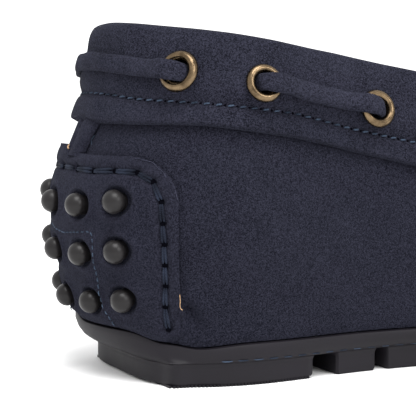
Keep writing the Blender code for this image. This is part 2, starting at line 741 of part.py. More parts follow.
def counter_top(along):
    """Height of the counter's top edge, rounded off at its two corners."""
    past = abs(along) - (COUNTER_HALF - COUNTER_CORNER)
    if past <= 0:
        return COUNTER_TOP
    return COUNTER_TOP - COUNTER_CORNER + math.sqrt(max(0.0, COUNTER_CORNER**2 - past**2))


def pebble_seats():
    seats = []
    for row, z in enumerate(PEBBLE_ROWS, start=1):
        for column in PEBBLE_COLUMNS:
            climb = PEBBLE_RISE * (column / PEBBLE_COLUMNS[-1]) ** 2
            seats.append((row, column, -column, z + climb))
    return seats


def make_counter():
    """Counter with its strip up the back, and a hole for each pebble."""
    places = heel_places(COUNTER_HALF)
    grid = patch(
        places,
        lambda i: edge_z(last_row(places[i])[0]) + 2.5 * GAP,
        lambda i: counter_top(places[i]),
        COUNTER_LINES,
        COUNTER_GAP,
        COUNTER_GAP + COUNTER_THICK,
    )
    counter = solid("heel_counter", *grid, "suede")
    places = heel_places(STRIP_HALF)
    top = LAST["heel_back"][8] - COLLAR_EDGE - COLLAR_DROP - GAP
    faces_out = (STRIP_GAP, STRIP_GAP + STRIP_THICK)
    grid = patch(places, lambda i: COUNTER_TOP - STRIP_TUCK, lambda i: top, 3, *faces_out)
    combine(counter, solid("back_strip", *grid, "suede"), "UNION")
    points, faces = [], []
    for _, _, s, z in pebble_seats():
        seat = wall(s, z, COUNTER_GAP + COUNTER_THICK)
        axis = wall(s, z, 10.0) - wall(s, z, 0.0)
        r = PEBBLE_R + GAP
        more, skins = turned(seat, axis, [(r, -COUNTER_THICK - 1.2), (r, 2.0)], PEBBLE_SEGMENTS)
        faces += [tuple(i + len(points) for i in f) for f in skins]
        points += more
    combine(counter, solid("counter_holes", points, faces, "suede"), "DIFFERENCE")


def make_pebbles():
    """Rubber pebbles that stand up through the counter's holes: a short stem with a domed head."""
    for row, column, s, z in pebble_seats():
        seat = wall(s, z, COUNTER_GAP + COUNTER_THICK)
        axis = wall(s, z, 10.0) - wall(s, z, 0.0)
        dome = PEBBLE_PROUD - PEBBLE_STEM
        profile = [(PEBBLE_R, -COUNTER_THICK + GAP), (PEBBLE_R, PEBBLE_STEM)]
        for angle in PEBBLE_ARCS:
            across, up = math.cos(math.radians(angle)), math.sin(math.radians(angle))
            profile.append((PEBBLE_R * across, PEBBLE_STEM + dome * up))
        number = PEBBLE_COLUMNS.index(column) + 1
        solid(f"pebble_row{row}_{number}", *turned(seat, axis, profile, PEBBLE_SEGMENTS), "rubber", sharp=50)


def main():
    for old in list(bpy.data.objects):
        bpy.data.objects.remove(old, do_unlink=True)
    make_upper()
    make_outsole()
    make_insole()
    make_tongue()
    make_apron_seam()
    make_collar()
    make_eyelets()
    make_counter()
    make_pebbles()
    make_lace()


main()
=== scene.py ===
import math
import random

import bpy
import numpy as np
from mathutils import Matrix, Vector


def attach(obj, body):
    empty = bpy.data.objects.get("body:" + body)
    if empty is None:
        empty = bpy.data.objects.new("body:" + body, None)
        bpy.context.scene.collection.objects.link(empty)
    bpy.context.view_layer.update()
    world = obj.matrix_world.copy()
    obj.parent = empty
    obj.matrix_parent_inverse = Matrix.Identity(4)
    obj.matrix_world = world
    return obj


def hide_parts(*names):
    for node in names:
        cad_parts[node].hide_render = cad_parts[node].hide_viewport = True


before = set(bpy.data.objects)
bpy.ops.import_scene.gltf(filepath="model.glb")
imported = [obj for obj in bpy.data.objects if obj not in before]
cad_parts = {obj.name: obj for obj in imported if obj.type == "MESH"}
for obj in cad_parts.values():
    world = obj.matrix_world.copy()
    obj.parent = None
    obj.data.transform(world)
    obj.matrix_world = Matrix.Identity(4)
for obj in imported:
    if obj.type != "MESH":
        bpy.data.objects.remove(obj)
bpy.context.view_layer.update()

bl_info = {
    "name": "Suede driving loafer",
    "version": (1, 0, 0),
    "blender": (4, 5, 0),
    "location": "View3D > Sidebar > Loafer",
    "description": "Dresses a driving loafer: suede, laced collar, pebbled heel, stitching and rubber sole",
    "category": "Object",
}

MM = 0.001


def length_of(name):
    """A length from the settings, in millimetres."""
    return round(getattr(bpy.context.scene.loafer, name) / MM, 4)


def unit(ways):
    """The same directions with a length of one."""
    return ways / np.linalg.norm(ways, axis=-1, keepdims=True)


def below(value, width):
    """One where the value is below nothing, and nothing above it, over a soft step of this width."""
    return 1 / (1 + np.exp(np.clip(value / width, -40, 40)))


def hump(value, width):
    """One where the value is nothing, fading to either side."""
    return np.exp(-((value / width) ** 2))


def between(before, here, there, past, t):
    """A point at share t from here to there on a smooth curve through all four."""
    return 0.5 * (
        2 * here
        + (there - before) * t
        + (2 * before - 5 * here + 4 * there - past) * t**2
        + (3 * here - before - 3 * there + past) * t**3
    )


def run_along(points):
    """Distance along a line of points from the first to each."""
    return np.concatenate([[0.0], np.cumsum(np.linalg.norm(np.diff(points, axis=0), axis=-1))])


def raised(plan, z):
    """Points from their places in plan and their heights."""
    return np.concatenate([plan, z[..., None]], axis=-1)


def square_to(ways, ahead):
    """The nearest directions square to the ones ahead."""
    return unit(ways - ahead * (ways * ahead).sum(axis=-1, keepdims=True))


def rings_round(line, one, one_reach, other, other_reach):
    """Closed rings about a line: how far each point of a ring reaches in two directions from the line's point."""
    return line[:, None] + one[:, None] * one_reach[..., None] + other[:, None] * other_reach[..., None]


def turns(count):
    """Equal angles round a circle."""
    return np.linspace(0, 2 * math.pi, count + 1)[:-1]


# ---- the last: every sheet of the shoe is laid on it. Lengths are in millimetres. ----
HEEL_BACK = -18.0
SOLE_TOP = 9.5
FOOT_GAP = 0.3
HEEL_RISE, HEEL_RISE_END, HEEL_RISE_LENGTH = 2.3, -10.0, 13.7
# Dips of the plate's edge round the heel corners: depth, place and reach.
CORNER_DIPS = ((0.9, -10.5, 6.5), (0.8, -17.8, 2.6))
SPRING_START, SPRING_LENGTH, SPRING_HEIGHT = 187.0, 64.0, 8.0
# foot x, foot y, tread x, tread y, stand of the wall at a quarter, half, three quarters and all of its
# height, and height of its rim.
LAST = {
    "heel_back": (-7.0, 0.0, -1.6, -1.0, 4.3, 4.4, -1.3, -5.5, 77.4),
    "outer_heel_corner": (-1.4, -17.6, 0.6, -20.0, 4.5, 4.9, -0.4, -5.6, 76.5),
    "outer_heel": (9.5, -26.4, 11.0, -27.4, 3.8, 4.6, 0.8, -3.8, 75.4),
    "outer_waist": (45.0, -26.6, 45.0, -26.2, 3.4, 4.2, 1.6, -2.4, 69.7),
    "outer_arch": (80.0, -29.0, 80.0, -27.0, 3.2, 4.0, 2.4, -1.5, 63.4),
    "outer_quarter": (112.0, -35.5, 112.0, -32.5, 3.6, 4.2, 1.8, -4.5, 61.5),
    "outer_throat": (138.0, -41.5, 138.0, -38.0, 4.0, 4.4, 0.0, -12.5, 64.0),
    "outer_ball": (170.0, -46.0, 170.0, -42.5, 4.4, 4.2, -2.0, -19.0, 55.0),
    "outer_toe": (211.0, -44.0, 210.0, -40.5, 4.4, 4.0, -1.6, -16.5, 46.0),
    "outer_toe_corner": (247.0, -30.0, 244.0, -27.0, 4.0, 3.6, -1.8, -13.5, 41.0),
    "toe_outer": (264.0, -13.0, 260.0, -11.5, 3.6, 3.0, -2.2, -13.5, 39.0),
    "toe": (269.0, 7.0, 265.0, 7.0, 3.4, 2.8, -2.2, -13.5, 38.5),
    "toe_inner": (262.0, 26.0, 258.5, 24.0, 3.6, 3.0, -2.2, -13.5, 39.5),
    "inner_toe": (236.0, 39.5, 234.0, 36.5, 4.0, 3.6, -1.8, -14.5, 43.0),
    "inner_ball": (193.0, 44.5, 193.0, 41.0, 4.2, 4.0, -1.6, -17.5, 51.0),
    "inner_instep": (160.0, 40.0, 160.0, 36.5, 4.0, 4.0, -0.8, -16.5, 59.5),
    "inner_throat": (138.0, 33.5, 138.0, 30.0, 3.6, 4.0, 0.6, -11.0, 66.0),
    "inner_arch": (108.0, 25.0, 108.0, 21.5, 3.2, 4.6, 3.4, 0.2, 63.5),
    "inner_waist": (76.0, 21.5, 76.0, 19.0, 3.0, 4.6, 3.8, 0.4, 64.8),
    "inner_heel_front": (43.0, 23.5, 43.0, 21.5, 3.2, 4.4, 2.2, -1.8, 70.3),
    "inner_heel": (9.5, 25.6, 11.0, 23.6, 3.8, 4.6, 0.8, -3.8, 75.6),
    "inner_heel_corner": (-2.5, 17.9, 1.0, 18.0, 3.6, 3.6, -1.7, -6.9, 76.5),
}
APRON_CROWN = (14.0, 12.8, 11.0, 8.5, 4.8, 0.0)
ROWS = np.array(list(LAST.values()))
ROWS[:, [0, 2]] += HEEL_BACK
RING = np.vstack([ROWS, ROWS[:1]])
STATION = np.concatenate([[0.0], np.cumsum(np.hypot(*np.diff(RING[:, :2], axis=0).T))])
ROUND = STATION[-1]
OUTER_THROAT, TOE, INNER_THROAT = (
    STATION[list(LAST).index(n)] for n in ("outer_throat", "toe", "inner_throat")
)


def spline_tangents():
    """Tangents of the twice-smooth closed curve through the last's rows."""
    count = len(ROWS)
    step = np.diff(STATION)
    system = np.zeros((count, count))
    right = np.zeros_like(ROWS)
    for i in range(count):
        before, after = step[i - 1], step[i]
        system[i, i - 1] += after
        system[i, i] += 2 * (before + after)
        system[i, (i + 1) % count] += before
        right[i] = 3 * (
            after * (ROWS[i] - ROWS[i - 1]) / before
            + before * (ROWS[(i + 1) % count] - ROWS[i]) / after
        )
    return np.linalg.solve(system, right)


TANGENTS = spline_tangents()


def last_rows(s):
    """The last's rows at places s along the foot line: s grows from the back of the heel, down the outer side."""
    s = np.mod(np.asarray(s, float), ROUND)
    i = np.clip(np.searchsorted(STATION, s, side="right") - 1, 0, len(ROWS) - 1)
    j = (i + 1) % len(ROWS)
    width = (STATION[i + 1] - STATION[i])[..., None]
    t = (s[..., None] - STATION[i][..., None]) / width
    return (
        ROWS[i] * (2 * t**3 - 3 * t**2 + 1)
        + TANGENTS[i] * width * (t**3 - 2 * t**2 + t)
        + ROWS[j] * (3 * t**2 - 2 * t**3)
        + TANGENTS[j] * width * (t**3 - t**2)
    )


FOOT, TREAD = slice(0, 2), slice(2, 4)


def plan_out(s, columns=FOOT):
    """Plan direction straight out of the foot line, or of the tread's outline."""
    ahead = last_rows(s + 0.5)[..., columns] - last_rows(s - 0.5)[..., columns]
    return unit(np.stack([ahead[..., 1], -ahead[..., 0]], axis=-1))


def spring(x):
    """Height of the tread above the floor."""
    return SPRING_HEIGHT * np.maximum(0.0, (x - SPRING_START) / SPRING_LENGTH) ** 2


def edge_z(x):
    """Height of the sole plate's edge."""
    back = np.clip((HEEL_RISE_END - x) / HEEL_RISE_LENGTH, 0.0, 1.0)
    dip = sum(depth * hump(x - place, reach) for depth, place, reach in CORNER_DIPS)
    return SOLE_TOP + spring(x) + HEEL_RISE * back * back * (3 - 2 * back) - dip


def inner_rise(plan):
    """How much higher the plate's lip stands round the inner back corner."""
    round_ = np.clip((plan[..., 1] - 2.0) / 9.0, 0.0, 1.0)
    back = np.clip((-4.0 - plan[..., 0]) / 8.0, 0.0, 1.0)
    return 1.3 * round_**2 * (3 - 2 * round_) * back


def foot_of(row):
    """Height of the wall's foot for rows of the last."""
    return edge_z(row[..., 0]) + inner_rise(row[..., :2]) + FOOT_GAP


def wall_at(s, v):
    """Points of the wall at share v of the way from its foot to its rim."""
    s, v = np.broadcast_arrays(np.asarray(s, float), np.asarray(v, float))
    row = last_rows(s)
    heights = (0.0, 0.25, 0.5, 0.75, 1.0)
    outs = (np.zeros_like(s), row[..., 4], row[..., 5], row[..., 6], row[..., 7])
    swell = np.zeros_like(s)
    for i, out in enumerate(outs):
        share = np.ones_like(v)
        for j, height in enumerate(heights):
            if j != i:
                share = share * (v - height) / (heights[i] - height)
        swell = swell + out * share
    plan = row[..., :2] + plan_out(s) * swell[..., None]
    foot = foot_of(row)
    z = foot + v * (row[..., 8] - foot)
    return raised(plan, z)


def wall_normal(s, v):
    """Directions straight out of the wall."""
    s, v = np.broadcast_arrays(np.asarray(s, float), np.minimum(v, 0.95))
    along = wall_at(s + 0.4, v) - wall_at(s - 0.4, v)
    up = wall_at(s, v + 0.01) - wall_at(s, v - 0.01)
    return unit(np.cross(along, up))


def rim_z(s):
    return last_rows(s)[..., 8]


def share_of(s, z):
    """Share of the way from the wall's foot to its rim at height z."""
    row = last_rows(s)
    foot = foot_of(row)
    return (z - foot) / (row[..., 8] - foot)


def wall(s, z, out=0.0):
    """Points of the wall at height z, moved straight out by a distance."""
    s, z, out = np.broadcast_arrays(np.asarray(s, float), z, out)
    v = share_of(s, z)
    return wall_at(s, v) + wall_normal(s, v) * out[..., None]


def above_wall(s, height, out):
    """Points by height from the rim and distance from the wall, carried straight up above the rim."""
    s, height, out = np.broadcast_arrays(np.asarray(s, float), height, out)
    point = wall(s, rim_z(s) + np.minimum(height, 0.0), out)
    point[..., 2] += np.maximum(height, 0.0)
    return point


def place_at(x, side):
    """Place on the outer (-1) or inner (+1) side at distance x from the heel block's back edge."""
    s = np.linspace(1.0, OUTER_THROAT, 800) if side < 0 else np.linspace(ROUND - 1.0, INNER_THROAT, 800)
    return float(np.interp(x + HEEL_BACK, last_rows(s)[:, 0], s))


def seam_places(t):
    """Places on the outer and inner side at share t of the way from throat to toe."""
    return (
        OUTER_THROAT + t * (TOE - OUTER_THROAT),
        INNER_THROAT + t * (TOE - INNER_THROAT),
    )


def apron(t, w):
    """The apron at share t of the way from throat to toe and w of the way from outer to inner seam."""
    t, w = np.broadcast_arrays(np.asarray(t, float), w)
    held = np.maximum(t, 0.0)
    sides = [wall_at(s, np.ones_like(s)) for s in seam_places(held)]
    point = sides[0] + (sides[1] - sides[0]) * w[..., None]
    rise = np.interp(held, np.linspace(0, 1, len(APRON_CROWN)), APRON_CROWN)
    point[..., 2] += rise * 4 * w * (1 - w)
    if np.any(t < 0):
        ahead = (apron(np.full_like(t, 0.04), w) - apron(np.zeros_like(t), w)) / 0.04
        point = point + ahead * np.minimum(t, 0.0)[..., None]
    return point


def apron_normal(t, w):
    t, w = np.broadcast_arrays(np.asarray(t, float), w)
    along = apron(t + 0.02, w) - apron(t - 0.02, w)
    across = apron(t, w + 0.02) - apron(t, w - 0.02)
    return unit(np.cross(along, across))


def bump_at(s, z, troughs):
    """Sum of soft troughs (negative) and ridges, each a line from one place and height to another."""
    total = np.zeros(np.broadcast(s, z).shape)
    for s0, z0, s1, z1, width, depth in troughs:
        dx, dz = s1 - s0, z1 - z0
        t = np.clip(((s - s0) * dx + (z - z0) * dz) / (dx * dx + dz * dz), 0.0, 1.0)
        away = np.hypot(s - s0 - t * dx, z - z0 - t * dz)
        total = total + depth * hump(away, width)
    return total


def waves(p, length, seed):
    """Smooth unevenness between about -1 and 1 with a given wavelength, from sums of sines."""
    draw = random.Random(seed)
    total = np.zeros(p.shape[:-1])
    for _ in range(9):
        way = np.array([draw.gauss(0, 1) for _ in range(3)])
        way *= 2 * math.pi / (length * draw.uniform(0.7, 1.5)) / np.linalg.norm(way)
        total = total + np.sin(p @ way + draw.uniform(0, 6.28))
    return total / 4.5


# ---- modelling helpers ----
def select_only(piece):
    bpy.ops.object.select_all(action="DESELECT")
    piece.select_set(True)
    bpy.context.view_layer.objects.active = piece


def modify(piece, kind, **settings):
    """Adds a modifier, sets it and applies it."""
    select_only(piece)
    modifier = piece.modifiers.new(kind.lower(), kind)
    for name, value in settings.items():
        setattr(modifier, name, value)
    bpy.ops.object.modifier_apply(modifier=modifier.name)
    return piece


def thicken(piece, thickness, even=False, lining=False):
    """Gives a sheet its thickness, inward; a lined one has its second material inside."""
    modify(
        piece, "SOLIDIFY", thickness=thickness * MM, offset=-1.0, use_even_offset=even, material_offset=int(lining)
    )


def round_edges(piece, width, segments):
    modify(piece, "BEVEL", width=width * MM, segments=segments, limit_method="ANGLE", angle_limit=math.radians(60))


def primitive(name, kind, **settings):
    """A new mesh primitive, alone in the selection."""
    bpy.ops.object.select_all(action="DESELECT")
    getattr(bpy.ops.mesh, f"primitive_{kind}_add")(**settings)
    piece = bpy.context.object
    piece.name = piece.data.name = name
    return piece


def join(pieces):
    """Joins pieces into the first of them."""
    select_only(pieces[0])
    for piece in pieces:
        piece.select_set(True)
    bpy.ops.object.join()
    return pieces[0]


def edit(piece, *steps):
    """Runs edit mode operators on the whole piece."""
    select_only(piece)
    bpy.ops.object.mode_set(mode="EDIT")
    bpy.ops.mesh.select_all(action="SELECT")
    for step, settings in steps:
        step(**settings)
    bpy.ops.object.mode_set(mode="OBJECT")
    return piece


MERGE = (bpy.ops.mesh.remove_doubles, {"threshold": 2e-6})
FACES_OUT = (bpy.ops.mesh.normals_make_consistent, {"inside": False})
FILL_ENDS = (
    (bpy.ops.mesh.select_all, {"action": "DESELECT"}), (bpy.ops.mesh.select_mode, {"type": "EDGE"}),
    (bpy.ops.mesh.select_non_manifold, {}), (bpy.ops.mesh.edge_face_add, {}),
    (bpy.ops.mesh.select_mode, {"type": "VERT"}),
)


def set_points(piece, points):
    piece.data.vertices.foreach_set("co", np.asarray(points, np.float32).reshape(-1) * MM)
    piece.data.update()


def points_of(piece):
    points = np.empty(len(piece.data.vertices) * 3, np.float32)
    piece.data.vertices.foreach_get("co", points)
    return points.reshape(-1, 3).astype(float) / MM


def cloth_grid(name, points, merge=False):
    """A grid primitive whose vertices are laid on an array of points: rows upward, columns along."""
    rows, columns = points.shape[:2]
    piece = primitive(name, "grid", x_subdivisions=columns - 1, y_subdivisions=rows - 1, size=1)
    set_points(piece, points)
    if merge:
        edit(piece, MERGE)
    return piece


def closed_tube(name, rings, loop=False):
    """A skin over closed rings, an array of (rings, points round, 3); its ends are filled unless it is a loop."""
    rings = np.concatenate([rings, rings[:, :1]], axis=1)
    if loop:
        rings = np.concatenate([rings, rings[:1]])
    piece = cloth_grid(name, rings, merge=True)
    if not loop:
        edit(piece, *FILL_ENDS)
    return edit(piece, FACES_OUT)


def soften(piece, degrees=50):
    """Smooth shading, with edges sharper than this left crisp."""
    select_only(piece)
    bpy.ops.object.shade_smooth_by_angle(angle=math.radians(degrees))
    return piece


def new_piece(name, points, faces):
    mesh = bpy.data.meshes.new(name)
    mesh.from_pydata((np.asarray(points) * MM).tolist(), [], faces)
    piece = bpy.data.objects.new(name, mesh)
    bpy.context.scene.collection.objects.link(piece)
    return piece


def stamp(name, model, frames, material, slot):
    """One piece of many copies of a model, each set by a 4 by 4 array in millimetres."""
    shape = points_of(model)
    skins = np.array([list(f.vertices) + [-1] * (4 - len(f.vertices)) for f in model.data.polygons])
    points, faces = [], []
    for k, seat in enumerate(frames):
        points.append(shape @ seat[:3, :3].T + seat[:3, 3])
        moved = np.where(skins >= 0, skins + k * len(shape), -1)
        faces += [tuple(int(i) for i in face if i >= 0) for face in moved]
    bpy.data.objects.remove(model)
    return soften(dress(new_piece(name, np.concatenate(points), faces), material, slot))


def frame_of(centre, along, out, scale=(1.0, 1.0, 1.0)):
    """A 4 by 4 array: X along, Z out, at a centre."""
    along = unit(along)
    out = square_to(out, along)
    made = np.eye(4)
    made[:3, 0] = along * scale[0]
    made[:3, 1] = np.cross(out, along) * scale[1]
    made[:3, 2] = out * scale[2]
    made[:3, 3] = centre
    return made


def thread_model(length, width, height):
    """One stitch: a short rounded length of thread along X that dips into the hole at each end."""
    piece = primitive(
        "stitch", "cylinder", vertices=6, radius=0.5, depth=1, end_fill_type="TRIFAN", rotation=(0, math.pi / 2, 0)
    )
    bpy.ops.object.transform_apply(location=False, rotation=True, scale=False)
    for place in (0.3, -0.3, 0.0):
        edit(piece, (bpy.ops.mesh.bisect, {"plane_co": (place, 0, 0), "plane_no": (1, 0, 0)}))
    points = np.array([v.co for v in piece.data.vertices])
    end = np.clip((np.abs(points[:, 0]) - 0.3) / 0.2, 0.0, 1.0)
    points[:, 1] *= width * (1 - 0.45 * end)
    points[:, 2] = points[:, 2] * height * (1 - 0.35 * end) - end * (0.55 * height)
    points[:, 0] *= length
    set_points(piece, points)
    return piece


def hole_shade_model(radius):
    """Painted shade of a stitch hole: a shallow dark cup whose rim lies level with the suede."""
    piece = primitive("hole", "circle", vertices=9, radius=1, fill_type="TRIFAN")
    points = np.array([v.co for v in piece.data.vertices])
    points[:, :2] *= radius
    points[:, 2] = np.where(np.hypot(points[:, 0], points[:, 1]) < 0.1 * radius, 0.02, 0.0)
    set_points(piece, points)
    return piece


def dress(piece, material, slot, *nodes, lining=None):
    """Gives a piece its finish and its body, and hides the CAD nodes that it stands for."""
    piece.data.materials.clear()
    piece.data.materials.append(material)
    if lining:
        piece.data.materials.append(lining)
    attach(piece, "root")
    if nodes:
        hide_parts(*nodes)
    return piece


# ---- finishes ----
class Graph:
    """Adds and joins nodes of one tree."""

    def __init__(self, tree):
        self.tree = tree

    def node(self, kind, **settings):
        made = self.tree.nodes.new(kind)
        for name, value in settings.items():
            setattr(made, name, value)
        return made

    def link(self, out, into):
        self.tree.links.new(out, into)

    def put(self, value, socket):
        """Joins an output to the socket, or sets the socket to a plain value."""
        if hasattr(value, "is_output"):
            self.link(value, socket)
        else:
            socket.default_value = value

    def set(self, node, **values):
        for name, value in values.items():
            self.put(value, node.inputs[name.replace("_", " ")])
        return node

    def place(self):
        return self.node("ShaderNodeTexCoord").outputs["Object"]

    def noise(self, vector, scale, detail=2.0, roughness=0.5):
        made = self.node("ShaderNodeTexNoise")
        return self.set(made, Vector=vector, Scale=scale, Detail=detail, Roughness=roughness).outputs["Fac"]

    def ramp(self, value, low, high, out_low=0.0, out_high=1.0):
        made = self.node("ShaderNodeMapRange")
        ends = {"From_Min": low, "From_Max": high, "To_Min": out_low, "To_Max": out_high}
        return self.set(made, Value=value, **ends).outputs["Result"]

    def maths(self, operation, *values):
        made = self.node("ShaderNodeMath", operation=operation)
        for socket, value in zip(made.inputs, values):
            self.put(value, socket)
        return made.outputs[0]

    def group(self, name, **values):
        made = self.node("ShaderNodeGroup", node_tree=bpy.data.node_groups[name])
        return self.set(made, **values).outputs

    def shade(self, relief=None, **sockets):
        """Sets the surface's sockets; relief is a height, and the strength and distance of its bump."""
        shader = self.tree.nodes["Principled BSDF"]
        self.set(shader, **sockets)
        if relief:
            height, strength, distance = relief
            bump = self.set(self.node("ShaderNodeBump"), Height=height, Strength=strength, Distance=distance)
            self.link(bump.outputs["Normal"], shader.inputs["Normal"])

    def sum(self, one, share, other, other_share):
        """Two values added, each times its share."""
        return self.maths("ADD", self.maths("MULTIPLY", one, share), self.maths("MULTIPLY", other, other_share))

    def mix(self, share, one, other):
        made = self.node("ShaderNodeMix", data_type="RGBA")
        for number, value in ((0, share), (6, one), (7, other)):
            self.put(value, made.inputs[number])
        return made.outputs[2]


def new_group(name, inputs, outputs):
    """A shader node group with named inputs and outputs, and the ends to join them to."""
    tree = bpy.data.node_groups.new(name, "ShaderNodeTree")
    for way, labels in (("INPUT", inputs), ("OUTPUT", outputs)):
        for label in labels:
            kind = "NodeSocketColor" if label.endswith("Colour") else "NodeSocketFloat"
            tree.interface.new_socket(name=label, in_out=way, socket_type=kind)
    g = Graph(tree)
    return g, g.node("NodeGroupInput").outputs, g.node("NodeGroupOutput").inputs


def suede_group():
    """Napped suede: short fibres that catch the light here and there over brushed light and dark patches."""
    g, start, end = new_group(
        "Suede nap", ("Colour", "Light Colour", "Grain", "Patches"), ("Colour", "Roughness", "Height")
    )
    place = g.place()
    fibres = g.noise(place, 3600.0, 3.0, 0.72)
    tufts = g.noise(place, 1900.0, 2.0, 0.6)
    brushed = g.noise(place, 130.0, 3.0, 0.6)
    clouds = g.noise(place, 32.0, 2.0, 0.5)
    fine = g.sum(fibres, 0.74, tufts, 0.26)
    speckle = g.ramp(fine, 0.42, 0.60)
    patches = g.ramp(g.sum(brushed, 0.5, clouds, 0.5), 0.36, 0.64)
    share = g.sum(speckle, start["Grain"], patches, start["Patches"])
    g.link(g.mix(share, start["Colour"], start["Light Colour"]), end["Colour"])
    g.link(g.ramp(fine, 0.3, 0.7, 1.0, 0.86), end["Roughness"])
    g.link(g.maths("ADD", fine, g.maths("MULTIPLY", brushed, 0.35)), end["Height"])


def moulded_group():
    """Moulded rubber: a faint satin mottle, dust that lies in patches, and fine pits."""
    g, start, end = new_group(
        "Moulded rubber", ("Colour", "Dust Colour", "Dust", "Roughness"), ("Colour", "Roughness", "Height")
    )
    place = g.place()
    fine = g.noise(place, 1500.0, 3.0, 0.6)
    soft = g.noise(place, 90.0, 3.0, 0.55)
    dusty = g.maths("MULTIPLY", g.ramp(soft, 0.42, 0.72), start["Dust"])
    g.link(g.mix(dusty, start["Colour"], start["Dust Colour"]), end["Colour"])
    worn = g.maths("ADD", start["Roughness"], g.ramp(soft, 0.3, 0.7, -0.05, 0.08))
    g.link(worn, end["Roughness"])
    g.link(fine, end["Height"])


def thread_group():
    """Spun thread: fine turns of the yarn and slight fading from stitch to stitch."""
    g, start, end = new_group("Spun thread", ("Colour", "Light Colour"), ("Colour", "Height"))
    place = g.place()
    wave = g.node("ShaderNodeTexWave", wave_type="BANDS", bands_direction="DIAGONAL")
    yarn = g.set(wave, Vector=place, Scale=1300.0, Distortion=1.5, Detail=1.0).outputs["Fac"]
    fade = g.noise(place, 150.0, 2.0)
    share = g.maths("ADD", g.maths("MULTIPLY", yarn, 0.35), g.ramp(fade, 0.40, 0.62, 0.0, 0.75))
    g.link(g.mix(share, start["Colour"], start["Light Colour"]), end["Colour"])
    g.link(yarn, end["Height"])


def new_material(name):
    material = bpy.data.materials.new(name)
    material.use_nodes = True
    return material, Graph(material.node_tree)


def suede(name, colour, light, grain, patches, sheen=0.02):
    material, g = new_material(name)
    nap = g.group("Suede nap", Colour=(*colour, 1), Light_Colour=(*light, 1), Grain=grain, Patches=patches)
    g.shade(
        (nap["Height"], 0.9, 0.0003), Base_Color=nap["Colour"], Roughness=nap["Roughness"], Specular_IOR_Level=0.03,
        Sheen_Weight=sheen, Sheen_Roughness=0.55, Sheen_Tint=(0.55, 0.62, 0.85, 1),
    )
    return material


def rubber(name, colour, dust, amount, roughness, specular):
    material, g = new_material(name)
    moulded = g.group("Moulded rubber", Colour=(*colour, 1), Dust_Colour=(*dust, 1), Dust=amount, Roughness=roughness)
    g.shade(
        (moulded["Height"], 0.15, 0.0001), Base_Color=moulded["Colour"], Roughness=moulded["Roughness"],
        Specular_IOR_Level=specular,
    )
    return material


def thread(name, colour, light):
    material, g = new_material(name)
    spun = g.group("Spun thread", Colour=(*colour, 1), Light_Colour=(*light, 1))
    g.shade((spun["Height"], 0.5, 0.0001), Base_Color=spun["Colour"], Roughness=0.75, Specular_IOR_Level=0.08)
    return material


def brass(name, rubbed, dark):
    """Antique brass: brown tarnish in patches over pale rubbed metal."""
    material, g = new_material(name)
    place = g.place()
    tarnish = g.ramp(g.noise(place, 420.0, 3.0, 0.6), 0.38, 0.66)
    scratches = g.noise(place, 2600.0, 2.0, 0.6)
    g.shade(
        (scratches, 0.12, 0.0001), Base_Color=g.mix(tarnish, (*rubbed, 1), (*dark, 1)),
        Roughness=g.ramp(scratches, 0.3, 0.7, 0.22, 0.36), Metallic=1.0,
    )
    return material


def leather(name, colour, dark):
    """Smooth lining leather: fine pores and darker rubbed patches."""
    material, g = new_material(name)
    place = g.place()
    rubbed = g.ramp(g.noise(place, 45.0, 3.0, 0.6), 0.35, 0.68)
    pores = g.set(g.node("ShaderNodeTexVoronoi"), Vector=place, Scale=900.0)
    g.shade(
        (pores.outputs["Distance"], 0.25, 0.0002), Base_Color=g.mix(rubbed, (*colour, 1), (*dark, 1)),
        Roughness=g.ramp(rubbed, 0.0, 1.0, 0.5, 0.7), Specular_IOR_Level=0.35,
    )
    return material


def plain(name, colour, other, grain, roughness, specular):
    """A matt surface of one tone, faintly uneven: the painted shade of a stitch hole, or floor paper."""
    material, g = new_material(name)
    shade = g.mix(g.noise(g.place(), *grain), (*colour, 1), (*other, 1))
    g.shade(Base_Color=shade, Roughness=roughness, Specular_IOR_Level=specular)
    return material


def make_finishes(settings):
    suede_group()
    moulded_group()
    thread_group()
    navy = tuple(settings.suede_colour)
    light = tuple(settings.suede_light)
    sole = tuple(settings.sole_colour)
    return {
        "upper": suede("quarter_suede", navy, light, 0.85, 0.10),
        "collar": suede("collar_suede", tuple(0.6 * c for c in navy), tuple(1.15 * c for c in light), 0.85, 0.18),
        "counter": suede("counter_suede", navy, light, 0.82, 0.18),
        "lace": suede("thong_suede", tuple(0.35 * c for c in navy), tuple(1.25 * c for c in light), 0.75, 0.30),
        # Tips twice as light as the suede: a painted highlight along the counter's cut edge.
        "cut_edge_highlight": suede("cut_edge_highlight_suede", navy, tuple(2.0 * c for c in light), 0.8, 0.4),
        "flesh": suede("raw_flesh_side", tuple(0.7 * c for c in navy), navy, 0.5, 0.5, sheen=0.01),
        "sole": rubber("sole_rubber", sole, tuple(2.1 * c for c in sole), 0.25, 0.52, 0.17),
        "pebble": rubber("pebble_rubber", (0.0085, 0.0076, 0.0080), (0.0140, 0.0130, 0.0135), 0.3, 0.36, 0.19),
        "brass": brass("antique_brass", (0.150, 0.106, 0.062), (0.062, 0.043, 0.025)),
        "blue_thread": thread("steel_blue_thread", (0.006, 0.009, 0.016), (0.040, 0.057, 0.088)),
        "pale_thread": thread("pale_blue_thread", (0.013, 0.020, 0.033), (0.064, 0.090, 0.132)),
        "navy_thread": thread("navy_thread", (0.0022, 0.0029, 0.0056), (0.0145, 0.0188, 0.0325)),
        "tan_thread": thread("tan_fibre", (0.26, 0.15, 0.075), (0.50, 0.34, 0.21)),
        "lining": leather("insole_leather", (0.100, 0.061, 0.035), (0.080, 0.049, 0.029)),
        # Near-black painted shade for the stitch holes.
        "hole": plain("stitch_hole_painted_shade", (0.0008, 0.0008, 0.0014), (0.003, 0.003, 0.005), (1500.0,), 1.0, 0.0),
    }


# ---- the upper ----
BALL = STATION[list(LAST).index("outer_ball")]
INNER_BALL = STATION[list(LAST).index("inner_ball")]
